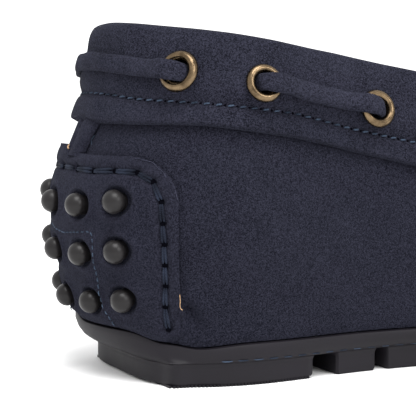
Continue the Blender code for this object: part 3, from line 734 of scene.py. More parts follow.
# Creases of the wall: place and height of each end, width and depth.
WALL_CREASES = (
    (28.6, 17.4, 30.8, 13.8, 1.1, -2.6),
    (30.8, 19.0, 32.8, 15.0, 1.5, 0.9),
    (33.0, 22.0, 36.0, 14.0, 2.6, -0.25),
    (60.0, 30.0, 95.0, 22.0, 7.0, -0.35),
    (BALL - 6.0, 16.0, BALL + 1.0, 44.0, 3.2, -0.9),
    (BALL + 6.0, 14.0, BALL + 8.0, 40.0, 3.5, -0.8),
    (BALL + 0.5, 15.0, BALL + 4.5, 42.0, 3.0, 0.6),
    (BALL + 20.0, 16.0, BALL + 17.0, 36.0, 3.5, -0.4),
    (INNER_BALL + 4.0, 16.0, INNER_BALL - 1.0, 42.0, 3.2, -0.9),
    (INNER_BALL - 8.0, 15.0, INNER_BALL - 9.0, 38.0, 3.6, -0.7),
    (INNER_BALL + 14.0, 18.0, INNER_BALL + 11.0, 44.0, 3.6, -0.5),
    (ROUND - 30.0, 19.0, ROUND - 33.0, 12.5, 1.5, -0.7),
)
# Creases of the apron: length from the throat and distance from its middle line, likewise.
APRON_CREASES = (
    (34.0, -24.0, 37.0, 20.0, 2.6, -0.9), (44.0, -20.0, 45.0, 24.0, 2.8, -1.0),
    (39.5, -18.0, 41.0, 18.0, 2.2, 0.5), (55.0, -16.0, 54.0, 14.0, 3.2, -0.5),
    (22.0, -10.0, 24.0, 16.0, 4.0, -0.4),
)


def wall_points(s, v, creases=True):
    """Wall surface with its creases and slight unevenness, without its thickness."""
    s, v = np.broadcast_arrays(s, v)
    point = wall_at(s, v)
    if not creases:
        return point
    relief = bump_at(s, point[..., 2], WALL_CREASES)
    calm = np.clip(4 * v * (1 - v), 0, 1)
    relief = relief * np.clip(6 * v, 0, 1) * np.clip(8 * (1 - v), 0, 1)
    relief = relief + 0.22 * calm * waves(point, 34.0, 5)
    return point + wall_normal(s, v) * relief[..., None]


def make_wall(finish):
    s = np.linspace(0, ROUND, 561)
    v = np.linspace(0, 1, 57)[:, None]
    piece = cloth_grid("upper_wall", wall_points(s, v), merge=True)
    thicken(piece, length_of("upper_thickness"), even=True, lining=True)
    dress(piece, finish["upper"], "upper_suede", "upper", lining=finish["flesh"])
    return soften(piece)


def make_apron(finish):
    t = np.linspace(0, 1, 73)[:, None]
    w = np.linspace(0, 1, 49)
    point = apron(t, w)
    length = 130.0 * t
    across = (w - 0.5) * np.linalg.norm(point[:, -1:] - point[:, :1], axis=-1)
    relief = bump_at(length, across, APRON_CREASES) + 0.25 * waves(point, 30.0, 8)
    relief = relief * np.clip(14 * w * (1 - w), 0, 1) * np.clip(5 * (1 - t), 0, 1)
    puckers = -0.28 * np.cos(length * 2 * math.pi / SEAM_PITCH) * hump(np.minimum(w, 1 - w), 0.06)
    relief = relief + puckers * np.clip(6 * (1 - t), 0, 1)
    point = point + apron_normal(np.minimum(t, 0.97), w) * relief[..., None]
    piece = cloth_grid("apron", point, merge=True)
    thicken(piece, length_of("upper_thickness"), lining=True)
    round_edges(piece, 0.4, 2)
    dress(piece, finish["upper"], "upper_suede", "upper", lining=finish["flesh"])
    return soften(piece)


# ---- the hand-sewn ridge between wall and apron ----
SEAM_PITCH = 4.3
SEAM_RADIUS = 1.35


def seam_line(count):
    """Middle of the ridge, its direction, and the way it stands up, from one throat corner to the other."""
    t = np.linspace(0.0, 1.0, count)
    s = np.concatenate([seam_places(t)[0], seam_places(t[::-1][1:])[1]])
    corner = wall_at(s, np.ones_like(s))
    ahead = unit(wall_at(s + 0.4, np.ones_like(s)) - wall_at(s - 0.4, np.ones_like(s)))
    lift = wall_normal(s, np.full_like(s, 0.97)) + np.array([0.0, 0.0, 1.0])
    return corner, ahead, square_to(lift, ahead)


def make_seam(finish):
    corner, ahead, lift = seam_line(260)
    run = run_along(corner)
    side = np.cross(lift, ahead)
    swell = 1.0 + 0.16 * np.cos(2 * math.pi * run / SEAM_PITCH + math.pi)
    angle = turns(16)
    middle = corner + lift * 0.75
    reach = np.cos(angle)[None] * SEAM_RADIUS, np.sin(angle) * (SEAM_RADIUS * swell)[:, None]
    rings = rings_round(middle, side, reach[0], lift, reach[1])
    ridge = closed_tube("apron_seam_ridge", rings)
    dress(ridge, finish["upper"], "upper_suede", "apron_seam")
    soften(ridge, 60)
    places = np.arange(SEAM_PITCH / 2, run[-1], SEAM_PITCH)
    frames = []
    for k in places:
        i = int(np.searchsorted(run, k))
        frames.append(frame_of(middle[i] + lift[i] * 0.05, lift[i], ahead[i]))
    radii = {"major_radius": (SEAM_RADIUS + 0.02) * MM, "minor_radius": 0.3 * MM}
    stitch = primitive("wrap", "torus", major_segments=20, minor_segments=6, **radii)
    stamp("apron_seam_stitches", stitch, frames, finish["blue_thread"], "upper_suede")


# Length of the tongue, how much of it lies behind the apron's edge, how far its free end is rounded, thickness.
TONGUE_LENGTH = 48.0
TONGUE_FREE = 34.0
TONGUE_ROUND = 11.0
TONGUE_THICK = 2.0


def make_tongue(finish):
    reach = np.linalg.norm(apron(0.04, 0.5) - apron(0.0, 0.5)) / 0.04
    length = np.linspace(0.0, TONGUE_LENGTH, 73)[:, None]
    t = (length - TONGUE_FREE) / reach
    round_off = np.sqrt(1 - (1 - np.clip(length / TONGUE_ROUND, 0.0, 1.0)) ** 2.4)
    half = 0.4 * (0.5 + 0.5 * round_off)
    w = 0.5 + half * np.linspace(-1, 1, 33)
    point = apron(t, w)
    drop = length_of("upper_thickness") + 0.6 + 0.35 * waves(point, 26.0, 11)
    point = point - apron_normal(np.maximum(t, 0.0), w) * drop[..., None]
    piece = cloth_grid("tongue_leaf", point)
    thicken(piece, TONGUE_THICK, lining=True)
    round_edges(piece, 0.5, 3)
    dress(piece, finish["upper"], "upper_suede", "tongue", lining=finish["flesh"])
    return soften(piece)


# ---- the collar band ----
# Height from the rim and distance out from the wall, up the inside, over the fold and down the face.
COLLAR_INSIDE = (
    (-10.0, -2.5), (-10.0, -4.0), (-8.0, -4.35), (-5.5, -4.5), (-1.0, -4.5),
    (1.4, -3.4), (2.5, -0.9), (2.5, 0.9), (1.3, 3.0), (-1.4, 4.05),
)
EYELET_DRILL = 3.3
EYELET_X = (4.9, 20.6, 49.6, 67.2, 96.4)
BAND_FACE = 4.2
# Along the band: distance from the back seam, then depth of its stitch line and of its raw edge.
COLLAR_LINE = np.array([
    (0, 14.1, 19.9), (8, 14.1, 19.8), (17, 14.3, 19.3), (31, 13.8, 18.2), (52, 13.3, 18.3), (66, 14.2, 18.9),
    (82, 14.3, 19.3), (400, 14.3, 19.4),
])


def from_back(s):
    """Distance from the back seam, on either side."""
    return np.minimum(np.mod(s, ROUND), np.mod(-s, ROUND))


def collar_line(s):
    """Depths below the rim of the band's stitch line and of its raw edge."""
    away = from_back(s)
    return (np.interp(away, COLLAR_LINE[:, 0], COLLAR_LINE[:, k]) for k in (1, 2))


def eyelet_drop(s):
    """Depth of the eyelets below the rim."""
    return 8.1 + 1.2 * np.clip((from_back(s) - 35.0) / 25.0, 0.0, 1.0)


def near_back(s):
    """One at the back seam, fading to nothing along the sides."""
    return hump(from_back(s), 13.0)


def smooth_section(points, steps):
    """A closed section through the points, rounded between them; the last axis holds the coordinates."""
    count = points.shape[-2]
    made = []
    for i in range(count):
        before, here, there, past = (points[..., (i + k) % count, :] for k in (-1, 0, 1, 2))
        for k in range(steps):
            made.append(between(before, here, there, past, k / steps))
    return np.stack(made, axis=-2)


def band_relief(s, height):
    """Puckers along the stitch line, the lapped end of the band, and its unevenness."""
    stitch, _ = (-d for d in collar_line(s))
    along = np.where(s > ROUND / 2, s - ROUND, s)
    line = hump(height - stitch, 0.7)
    relief = -0.16 * line * (1 + np.cos(2 * math.pi * along / length_of("stitch_pitch")))
    lap_edge = 4.2 + (stitch - height) * 0.62
    lap = below(along - lap_edge, 0.22) * below(-30.0 - along, 0.4)
    return relief + 0.42 * lap * below(height - stitch + 0.6, 0.35)


STITCH_LIFT = 0.45
SETBACK = 4.0
BAND_TAPER = 14.0


def collar_span(step):
    """Places along the band from its inner end round the heel to its outer end."""
    first, last = INNER_THROAT - ROUND + SETBACK, OUTER_THROAT - SETBACK
    return np.linspace(first, last, int(round((last - first) / step)) + 1)


def collar_ring(s):
    """The band's section at each place s, as heights and distances out."""
    stitch, edge = (-d for d in collar_line(s))
    middle = (edge + stitch) / 2
    face = (-5.0, -8.1, stitch + 2.6, stitch + 0.9, stitch, stitch - 0.8, middle, edge + 0.7, edge + 0.05)
    outs = np.array([4.2, BAND_FACE, 3.5, 2.35, 1.8, 2.1, 2.3, 2.4, 2.0])
    outs = outs + near_back(s)[:, None] * np.array([0.0, 0.0, 0.1, 0.35, STITCH_LIFT, 0.35, -0.15, -0.8, -0.85])
    under = (edge + 0.05, middle, stitch, stitch + 1.8, -3.2, -1.4, 0.5, 0.5, -1.4, -6.0)
    under_outs = (0.4, 0.4, 0.4, 2.5, 2.5, 0.6, 0.2, -2.7, -2.8, -2.8)
    inside = np.broadcast_to(COLLAR_INSIDE, (*s.shape, len(COLLAR_INSIDE), 2))

    def side(heights, outs):
        heights = np.stack([np.broadcast_to(height, s.shape) for height in heights], axis=-1)
        return np.stack([heights, np.broadcast_to(outs, heights.shape)], axis=-1)

    return np.concatenate([inside, side(face, outs), side(under, under_outs)], axis=-2)


def make_collar(finish):
    s = collar_span(1.25)
    section = smooth_section(collar_ring(s), 3)
    height, out = section[..., 0], section[..., 1]
    places = np.broadcast_to(s[:, None], height.shape)
    full = np.clip(np.minimum(s - s[0], s[-1] - s) / BAND_TAPER, 0.0, 1.0)[:, None]
    thin = 0.30 + 0.70 * full * full * (3 - 2 * full)
    out = np.where(out > 0.5, 0.5 + (out - 0.5) * thin, out)
    point = above_wall(places, height, out)
    facing = out > 1.5
    relief = np.where(facing, band_relief(places, height), 0.0)
    puff = 0.3 * waves(point, 17.0, 21) + 0.12 * waves(point, 6.0, 22)
    free = np.clip((out + 1.0) / 3.0, 0, 1) * np.clip((height + 16.0) / 10.0, 0.25, 1)
    relief = relief + puff * free * (np.abs(out) > 0.7)
    point = point + wall_normal(places, np.full_like(places, 0.9)) * relief[..., None]
    band = closed_tube("collar_band", point)
    soften(band, 60)
    holes = []
    for face, axis in eyelet_seats():
        drill = primitive("drill", "cylinder", vertices=24, radius=EYELET_DRILL * MM, depth=7 * MM)
        turn = Vector(axis).to_track_quat("Z", "Y").to_matrix().to_4x4()
        drill.data.transform(Matrix.Translation(Vector(face * MM)) @ turn)
        holes.append(drill)
    modify(band, "BOOLEAN", operation="DIFFERENCE", object=join(holes), solver="EXACT")
    bpy.data.objects.remove(holes[0])
    dress(band, finish["collar"], "collar_suede", "collar")
    return band


def eyelet_seats():
    """Middle on the band's face and axis of each eyelet: outer side first."""
    seats = []
    for side in (-1, 1):
        for x in EYELET_X:
            s = place_at(x, side)
            drop = -float(eyelet_drop(s))
            seats.append((above_wall(s, drop, BAND_FACE), wall_normal(s, 0.9)))
    return seats


# Rolled ring with its barrel: radius and height over the band's face.
EYELET_PROFILE = (
    (2.32, -1.5), (2.27, -0.6), (2.32, 0.1), (2.46, 0.70), (2.78, 1.15), (3.22, 1.38), (3.65, 1.32), (4.05, 1.03),
    (4.32, 0.58), (4.40, 0.12), (4.27, -0.12), (3.6, -0.2), (2.95, -0.25), (2.9, -1.5),
)
# Size, and turn toward the heel in degrees, of each eyelet from the heel forward.
EYELET_SET = ((1.06, 11.0), (0.97, 0.0), (1.0, 0.0), (1.0, 0.0), (1.0, 0.0))


def make_eyelets(finish):
    """Each ring is turned round its own profile and set square to the band, or to its own lean."""
    radii, heights = (np.array(c) for c in zip(*EYELET_PROFILE))
    angle = turns(40)[:, None]
    for number, (face, axis) in enumerate(eyelet_seats()):
        side = "outer" if number < len(EYELET_X) else "inner"
        index = number % len(EYELET_X) + 1
        size, toward_heel = EYELET_SET[index - 1]
        swing = Matrix.Rotation(math.radians(-toward_heel if side == "outer" else toward_heel), 3, "Z")
        turn = np.array((swing @ Vector(axis)).to_track_quat("Z", "Y").to_matrix())
        local = np.stack(np.broadcast_arrays(radii * np.cos(angle), radii * np.sin(angle), heights), axis=-1)
        ring = closed_tube(f"eyelet_ring_{side}_{index}", size * local @ turn.T + face, loop=True)
        soften(ring, 60)
        dress(ring, finish["brass"], "eyelet_brass", f"eyelet_{side}_{index}")


# ---- the thong ----
# Beside one eyelet: distance along the run from the hole (positive on the side that lies outside),
# height off the band's face, and width.
THONG_DIVE = (
    (8.5, 0.95, 4.2), (6.2, 1.6, 4.25), (4.4, 2.3, 4.5), (2.9, 2.45, 4.5),
    (1.4, 2.25, 4.4), (0.1, 1.65, 4.0), (-0.6, 0.75, 3.9), (-0.9, -0.5, 3.8),
    (-1.6, -1.9, 3.8), (-2.6, -2.9, 4.0), (-4.6, -3.1, 4.2),
)


def thong_half(side):
    """One side's run from the back seam to the top eyelet: place, height off the band's face, and width."""
    places = [place_at(x, side) for x in EYELET_X]
    ahead = 1.0 if side < 0 else -1.0
    back = 0.0 if side < 0 else ROUND
    stations = [(back + ahead * d, 0.95, 4.2) for d in (0.0, 4.0, 8.0)]
    for number, s in enumerate(places):
        inward = number % 2 == 0
        dive = THONG_DIVE if inward else THONG_DIVE[::-1]
        turn = -ahead if inward else ahead
        if number == len(places) - 1:
            dive = [row for row in dive if row[0] > -2.0]
        late = 0.6 if number == 0 else 0.0
        stations += [(s + turn * (run - late), height, width) for run, height, width in dive]
        if number < len(places) - 1:
            height = -3.1 if inward else 0.9
            reach = 4.6 if inward else 8.5
            gap = abs(places[number + 1] - s)
            for share in (0.33, 0.67) if inward else (0.25, 0.5, 0.75):
                stations.append((s + ahead * (reach + share * (gap - 2 * reach)), height, 4.2))
    return stations


def resample(points, step):
    """Points on a smooth curve through the given ones, at equal steps."""
    ends = np.concatenate([points[:1], points, points[-1:]])
    dense = []
    for i in range(1, len(points)):
        for t in np.linspace(0, 1, 12, endpoint=False):
            dense.append(between(*ends[i - 1 : i + 3], t))
    dense = np.array(dense + [points[-1]])
    run = run_along(dense[:, :3])
    at = np.linspace(0, run[-1], int(run[-1] / step))
    return np.stack([np.interp(at, run, dense[:, k]) for k in range(dense.shape[1])], axis=-1)


def make_thong(finish):
    outer, inner = thong_half(-1), thong_half(1)
    stations = np.array(outer[::-1] + [(s - ROUND, h, w) for s, h, w in inner[1:]])
    s, height, width = stations.T
    first = place_at(EYELET_X[0], -1)
    lift = np.interp(from_back(s), (0.0, first - 6.0, first, first + 9.0), (0.7, -0.25, -0.5, 0.0))
    path = above_wall(s, lift - eyelet_drop(s), BAND_FACE + height)
    path = resample(np.concatenate([path, width[:, None], s[:, None]], axis=-1), 0.6)
    middle, width, s = path[:, :3], path[:, 3], path[:, 4]
    ahead = unit(np.gradient(middle, axis=0))
    up = above_wall(s, -7.1, 0.0) - above_wall(s, -9.0, 0.0)
    up = square_to(up, ahead)
    out = np.cross(ahead, up)
    twist = 0.10 * waves(middle, 30.0, 31)
    up, out = up + out * twist[:, None], out - up * twist[:, None]
    angle = turns(24)
    ring_up = np.sign(np.cos(angle)) * np.abs(np.cos(angle)) ** 0.72
    ring_out = np.sign(np.sin(angle)) * np.abs(np.sin(angle)) ** 0.78
    half = width / 2 + 0.14 * waves(middle, 7.0, 32)
    rise = length_of("thong_thickness") / 2 * (1 + 0.10 * waves(middle, 9.0, 33))
    rings = rings_round(middle, up, half[:, None] * ring_up, out, rise[:, None] * ring_out)
    thong = closed_tube("suede_thong", rings)
    dress(thong, finish["lace"], "lace_suede", "lace")
    return soften(thong, 70)


# ---- the heel counter ----
COUNTER_OUT = 2.1
COUNTER_HALF = 27.4
COUNTER_TOP = 50.4
COUNTER_CORNER = 9.5
# Holes of the hand stitching on one half, from the back seam round the corner and down: place, height.
COUNTER_HOLES = (
    (3.5, 47.1), (9.4, 46.9), (14.9, 47.2), (19.6, 47.0), (22.8, 45.2), (24.4, 41.1), (24.7, 36.6),
    (24.9, 32.2), (24.9, 27.8), (24.8, 23.3), (24.4, 18.6), (24.7, 13.4),
)
# The fine machine stitching inside it, likewise.
COUNTER_LINE = (
    (0.0, 33.0), (5.0, 33.6), (10.2, 34.2), (10.7, 31.5), (10.5, 29.0), (10.1, 26.0), (9.9, 22.0), (10.0, 18.5),
    (10.6, 15.5), (12.2, 12.6),
)
STRIP_FOOT, STRIP_TOP = 49.6, 58.6
PEBBLE_ROWS = (39.3, 29.1, 18.5)
PEBBLE_COLUMNS = (-16.2, -6.9, 4.5, 16.2)
PEBBLE_RISE = 1.5
PEBBLE_STEM = 0.8


def pebble_seats():
    """Row, column, place and height of each pebble."""
    seats = []
    for row, z in enumerate(PEBBLE_ROWS, start=1):
        for number, column in enumerate(PEBBLE_COLUMNS, start=1):
            seats.append((row, number, -column, z + PEBBLE_RISE * (column / PEBBLE_COLUMNS[-1]) ** 2))
    return seats


def counter_top(s):
    """Height of the counter's top edge: round corners, and a higher tab beside the back seam."""
    past = np.clip(np.abs(s) - (COUNTER_HALF - COUNTER_CORNER), 0.0, COUNTER_CORNER)
    top = COUNTER_TOP - COUNTER_CORNER + np.sqrt(COUNTER_CORNER**2 - past**2)
    return top + 1.3 * below(np.abs(s + 5.8) - 4.4, 0.16)


def polyline_bump(s, z, line, width, depth):
    """A groove of even depth along a line of (place, height)."""
    return -np.maximum.reduce(
        [-bump_at(s, z, [(*line[i], *line[i + 1], width, -abs(depth))]) for i in range(len(line) - 1)]
    )


def both_halves(line):
    return line, tuple((-s, z) for s, z in line)


def counter_relief(s, z):
    """Grooves of the stitches, their holes, a lip round each pebble and the folds at the counter's edge."""
    relief = np.zeros(np.broadcast(s, z).shape)
    relief = relief + polyline_bump(s, z, ((-3.5, 47.1), (3.5, 47.1)), 0.85, 0.62)
    for line in both_halves(COUNTER_HOLES):
        relief = relief + polyline_bump(s, z, line, 0.85, 0.62)
        for hole in line:
            relief = relief - 0.8 * np.exp(-(((s - hole[0]) ** 2 + (z - hole[1]) ** 2) / 0.8**2))
    for line in both_halves(COUNTER_LINE):
        relief = relief + polyline_bump(s, z, line, 0.4, 0.16)
    radius = length_of("pebble_radius")
    for _, _, seat_s, seat_z in pebble_seats():
        away = np.hypot(s - seat_s, z - seat_z)
        relief = relief + 0.5 * hump(away - radius - 0.8, 1.0) - 1.3 * below(away - radius - 0.20, 0.12)
    return relief + bump_at(s, z, ((26.3, 16.5, 27.6, 12.5, 1.0, -0.6), (26.4, 31.0, 26.6, 22.0, 1.0, 0.25)))


def make_counter(finish):
    turn = np.linspace(-1, 1, 211)
    s = COUNTER_HALF * (0.72 * turn + 0.28 * np.sin(turn * math.pi / 2))
    bottom = foot_of(last_rows(s)) + 0.6
    share = np.linspace(0, 1, 151)[:, None]
    z = bottom + (counter_top(s) - bottom) * share
    point = wall(s, z, COUNTER_OUT)
    edge = np.minimum(COUNTER_HALF - np.abs(s), (counter_top(s) - z))
    relief = counter_relief(s, z) + 0.10 * waves(point, 11.0, 41) + 0.05 * waves(point, 4.0, 42)
    tab = hump(s + 6.2, 4.0) * share**6
    flush = below(z - 19.0, 2.0)
    relief = relief + 0.8 * tab - 0.85 * hump(z - bottom, 1.1)
    relief = relief - (0.85 * (1 - tab) + 0.9 * flush) * hump(np.maximum(edge, 0.0), 0.9 + 1.6 * flush)
    point = point + wall_normal(s, share_of(s, z)) * relief[..., None]
    piece = cloth_grid("heel_counter_suede", point)
    thicken(piece, 1.6)
    dress(piece, finish["counter"], "counter_suede", "heel_counter")
    return soften(piece)


def make_strip(finish):
    """The rolled strip that climbs the back seam from the counter to the band."""
    turn = np.linspace(-1, 1, 41)
    share = np.linspace(0, 1, 31)[:, None]
    left, right = -4.4 - 2.2 * share, 2.8 + 3.2 * share
    s = (left + right) / 2 + (right - left) / 2 * turn
    z = STRIP_FOOT + (STRIP_TOP - STRIP_FOOT) * share
    roll = 0.35 + (1.35 + 0.8 * (1 - share)) * np.clip(1 - turn**2, 0, 1) ** 0.5
    seam = -0.5 * hump(turn + 0.12, 0.16)
    point = wall(s, z, roll + seam)
    point = point + wall_normal(s, share_of(s, z)) * (0.18 * waves(point, 6.0, 51))[..., None]
    piece = cloth_grid("back_strip_suede", point)
    thicken(piece, 0.9)
    dress(piece, finish["counter"], "counter_suede")
    return soften(piece)


def make_pebbles(finish):
    """Each pebble is a sphere drawn out into a dome over a slightly waisted stem, set square to the wall."""
    for row, number, s, z in pebble_seats():
        piece = primitive(f"pebble_dome_{row}_{number}", "uv_sphere", segments=32, ring_count=20, radius=1)
        points = np.array([v.co for v in piece.data.vertices])
        up = points[:, 2]
        around = np.hypot(points[:, 0], points[:, 1])
        full = np.where(up < 0, 1.0 / np.maximum(around, 1e-6), 1.0)
        full = np.where(around < 0.02, 1.0, full)
        waist = np.where(up < 0, 1 - 0.16 * np.clip(-up * 2.2, 0, 1) ** 0.8, 1.0)
        points[:, :2] *= (np.minimum(full, 8.0) * waist)[:, None] * length_of("pebble_radius")
        dome = length_of("pebble_height") - PEBBLE_STEM
        points[:, 2] = np.where(up < 0, up * 2.4 + PEBBLE_STEM, PEBBLE_STEM + up * dome)
        seat = wall(s, z, COUNTER_OUT)
        axis = wall(s, z, 10.0) - wall(s, z, 0.0)
        turn = np.array(Vector(axis).to_track_quat("Z", "Y").to_matrix())
        set_points(piece, points @ turn.T + seat)
        dress(piece, finish["pebble"], "pebble_rubber", f"pebble_row{row}_{number}")
        soften(piece, 60)


# ---- stitching ----
def walk(line, pitch, start=0.0):
    """Places and heights at equal steps along a line of (place, height)."""
    line = np.array(line, float)
    run = run_along(line)
    at = np.arange(start, run[-1], pitch)
    return np.interp(at, run, line[:, 0]), np.interp(at, run, line[:, 1])


def surface_frames(s, z, out, reach, lean=0.0):
    """Frames on the wall that point from each (s, z) to the next over a reach in place and height."""
    frames = []
    for here_s, here_z, here_out, (run_s, run_z) in zip(s, z, np.broadcast_to(out, len(s)), reach):
        past, before = (wall(here_s + run_s * k, here_z + run_z * k, here_out) for k in (0.5, -0.5))
        normal = wall_normal(here_s, share_of(here_s, here_z))
        ahead = past - before + np.cross(normal, past - before) * lean
        frames.append(frame_of(wall(here_s, here_z, here_out), ahead, normal))
    return frames


def stitch_height(s):
    """Height of the band's stitch line."""
    return rim_z(s) - np.interp(from_back(s), *COLLAR_LINE.T[:2])


def make_collar_stitches(finish):
    """Lockstitch along the band, slightly slanted, with a dark disc of painted shade for the needle hole at each end
    of every stitch.
    """
    span = collar_span(0.5)
    pitch = length_of("stitch_pitch")
    s = np.arange(span[0] + 1.2, span[-1] - 1.0, pitch)
    z = stitch_height(s)
    reach = np.stack([np.full_like(s, 1.0), np.gradient(z, s)], axis=-1)
    frames = surface_frames(s, z, 1.98 + STITCH_LIFT * near_back(s), reach, lean=0.24)
    stamp("collar_stitches", thread_model(1.45, 0.42, 0.36), frames, finish["blue_thread"], "collar_suede")
    # Dark discs of painted shade where the needle holes fall.
    s = s + pitch / 2
    frames = surface_frames(s, stitch_height(s), 1.81 + STITCH_LIFT * near_back(s), reach)
    stamp("collar_needle_hole_shade", hole_shade_model(0.31), frames, finish["hole"], "collar_suede")


def make_counter_stitches(finish):
    """Hand stitching of doubled thread, one long stitch between each pair of holes, and the fine line inside."""
    frames, holes = [], []
    for line in both_halves(COUNTER_HOLES):
        for (s0, z0), (s1, z1) in zip(line, line[1:]):
            ends = wall(np.array([s0, s1]), np.array([z0, z1]), 1.8)
            half_s, half_z = (s0 + s1) / 2, (z0 + z1) / 2
            normal = wall_normal(half_s, share_of(half_s, half_z))
            ahead = ends[1] - ends[0]
            middle = wall(half_s, half_z, 1.82)
            side = np.cross(normal, unit(ahead))
            length = np.linalg.norm(ahead)
            for shift, turn in ((0.29, 0.05), (-0.29, -0.02)):
                seat = frame_of(middle + side * shift, ahead + side * turn * length, normal, (length - 0.9, 1.0, 1.0))
                frames.append(seat)
        # A dark disc of painted shade at each hole of the hand stitching.
        holes += surface_frames(*zip(*line), 1.45, [(1.0, 0.0)] * len(line))
    across, height = COUNTER_HOLES[0]
    ends = wall(np.array([-across, across]), height, 1.8)
    middle = wall(0.0, height, 1.85)
    normal = wall_normal(0.0, 0.6)
    for shift in (0.24, -0.24):
        frames.append(frame_of(middle + (0.0, 0.0, shift), ends[1] - ends[0], normal, (5.6, 1.0, 1.0)))
    stamp("counter_hand_stitches", thread_model(1.0, 0.62, 0.46), frames, finish["navy_thread"], "counter_suede")
    stamp("counter_stitch_hole_shade", hole_shade_model(0.62), holes, finish["hole"], "counter_suede")
    frames = []
    for line in both_halves(COUNTER_LINE):
        s, z = walk(line, 1.45, 0.6)
        reach = np.stack([np.gradient(s), np.gradient(z)], axis=-1)
        frames += surface_frames(s, z, COUNTER_OUT + 0.08 + counter_relief(s, z), reach)
    stamp("counter_fine_stitches", thread_model(1.15, 0.32, 0.32), frames, finish["pale_thread"], "counter_suede")


def fibre(name, line, radius, material):
    """A loose fibre along points given as place, height and distance out."""
    points = np.array([wall(s, z, out) for s, z, out in line])
    path = resample(points, 0.15)
    ahead = unit(np.gradient(path, axis=0))
    side = unit(np.cross(ahead, np.array([0.3, 0.1, 1.0])))
    other = np.cross(ahead, side)
    angle = turns(6)
    rings = rings_round(path, side, radius * np.cos(angle)[None], other, radius * np.sin(angle)[None])
    soften(dress(closed_tube(name, rings), material, "counter_suede"), 80)


def make_loose_fibres(finish):
    tan = ((27.4, 21.6, 1.9), (27.45, 20.2, 1.9), (27.38, 19.4, 1.95), (27.45, 18.6, 1.9), (27.8, 18.2, 1.9))
    frayed = ((-2.3, 51.7, 2.2), (-1.9, 51.2, 2.5), (-1.5, 50.9, 2.3))
    blue = ((5.6, 54.6, 0.7), (5.3, 53.6, 0.9), (5.5, 52.6, 0.7))
    fibre("loose_tan_thread", tan, 0.085, finish["tan_thread"])
    fibre("frayed_tan_end", frayed, 0.18, finish["tan_thread"])
    fibre("loose_blue_end", blue, 0.14, finish["blue_thread"])


def make_cut_edge_highlight(finish):
    """A thin cord along the counter's cut edge where it turns the upper corner, its pale colour a painted highlight.
    """
    for name, side in (("outer", 1.0), ("inner", -1.0)):
        turn = np.radians(np.linspace(84, 4, 25))
        inset = COUNTER_CORNER - 0.35
        s = COUNTER_HALF - COUNTER_CORNER + inset * np.cos(turn)
        z = COUNTER_TOP - COUNTER_CORNER + inset * np.sin(turn)
        wander = 0.12 * np.sin(7.3 * turn) + 0.07 * np.sin(19.0 * turn)
        out = 1.62 + 0.1 * np.sin(11.0 * turn)
        line = list(zip(side * (s + wander), z + wander, out))
        fibre(f"counter_cut_edge_highlight_{name}", line, 0.11, finish["cut_edge_highlight"])


# ---- the sole ----
TREAD_HEIGHT = 5.0
HALF_COLUMNS = 170
BLOCK_FRONT = 18.0
HEEL_GROOVE = 6.5
LUG_LENGTH = 10.9
LUG_GROOVE = 3.0
TREAD_END = 244.0
LUG_INSET = 0.5
RIB_PITCH = 0.78
RIB_HEIGHT = 0.45
SOLE_STITCH_START, SOLE_STITCH_PITCH = 35.5, 3.9
SOLE_STITCH_ROW = (0.90, 0.40, 0.82, 0.0)
INSOLE_OUT = -3.4
INSOLE_TOP = 12.8
INSOLE_CUP = 0.7
INSOLE_THICK = 2.8
# Edge of the sole plate, from its bed down to its underside: share of the way from the foot line to the
# tread's outline, distance out, then share of the way down from the edge's height to the tread, and drop.
PLATE_EDGE = (
    (0.0, -2.6, 0.0, 0.0), (0.0, 0.5, 0.0, 0.0), (0.0, 0.88, 0.0, 0.14), (0.0, 1.02, 0.0, 0.5),
    (0.0, 1.02, 0.12, 0.7), (0.14, 0.9, 0.38, 0.5), (0.36, 0.7, 0.6, 0.3), (0.66, 0.4, 0.78, 0.1),
    (0.92, 0.15, 0.86, 0.0), (1.0, 0.02, 0.90, 0.0), (1.0, -0.2, 0.93, 0.0), (1.0, -0.5, 0.935, 0.0),
)


def foot_point(s, out):
    """Plan points at a distance out of the foot line."""
    return last_rows(s)[..., :2] + plan_out(s) * np.asarray(out)[..., None]


# The heel block's corner on the outer side: place, half width and how far it stands out.
BLOCK_CORNER = (23.2, 3.0, 1.75)


def tread_point(s, out):
    """Plan points at a distance out of the tread's outline, whose outer back corner is sharper."""
    middle, half, proud = BLOCK_CORNER
    out = np.asarray(out) + proud * hump(s - middle, half)
    return last_rows(s)[..., TREAD] + plan_out(s, TREAD) * out[..., None]


def plate_edge(s, row):
    """Points along one row of the plate's edge."""
    toward, out, down, drop = row
    plan = foot_point(s, out) * (1 - toward) + tread_point(s, out) * toward
    x = plan[..., 0]
    top = edge_z(x) + (inner_rise(plan) * (1 - down) if out > 0.0 and toward < 0.5 else 0.0)
    low = TREAD_HEIGHT + spring(x)
    z = top - down * (top - low) - drop
    return raised(plan, z)


def across_sheet(name, outer, inner, steps, height):
    """A sheet from outer to inner outline points, its height worked out from plan place and share across."""
    w = np.linspace(0, 1, steps)[:, None]
    plan = outer[None] * (1 - w[..., None]) + inner[None] * w[..., None]
    z = height(plan[..., 0], w * np.ones(plan.shape[1]))
    return cloth_grid(name, raised(plan, z))


def half_places():
    """Places from the back seam to the toe, down the outer side and down the inner one."""
    return np.linspace(0, TOE, HALF_COLUMNS), np.linspace(ROUND, TOE, HALF_COLUMNS)


def tread_side(x, side):
    """Plan distance across, at x, of the tread's outline on one side."""
    s = half_places()[0 if side < 0 else 1]
    ring = tread_point(s, -LUG_INSET)
    order = np.argsort(ring[:, 0])
    return np.interp(x, ring[order, 0], ring[order, 1])


def block_outline():
    """Plan outline of the heel block: the tread's curve round the back, and a straight front."""
    s = np.linspace(-70.0, 70.0, 281)
    ring = tread_point(s, -LUG_INSET)
    ring = ring[ring[:, 0] < BLOCK_FRONT - 1.6]
    y_outer, y_inner = float(tread_side(BLOCK_FRONT, -1)), float(tread_side(BLOCK_FRONT, 1))
    corner = np.array([(BLOCK_FRONT - 0.5, y_outer), (BLOCK_FRONT, y_outer + 0.7)])
    other = np.array([(BLOCK_FRONT, y_inner - 0.7), (BLOCK_FRONT - 0.5, y_inner)])
    return np.concatenate([ring, corner, other])


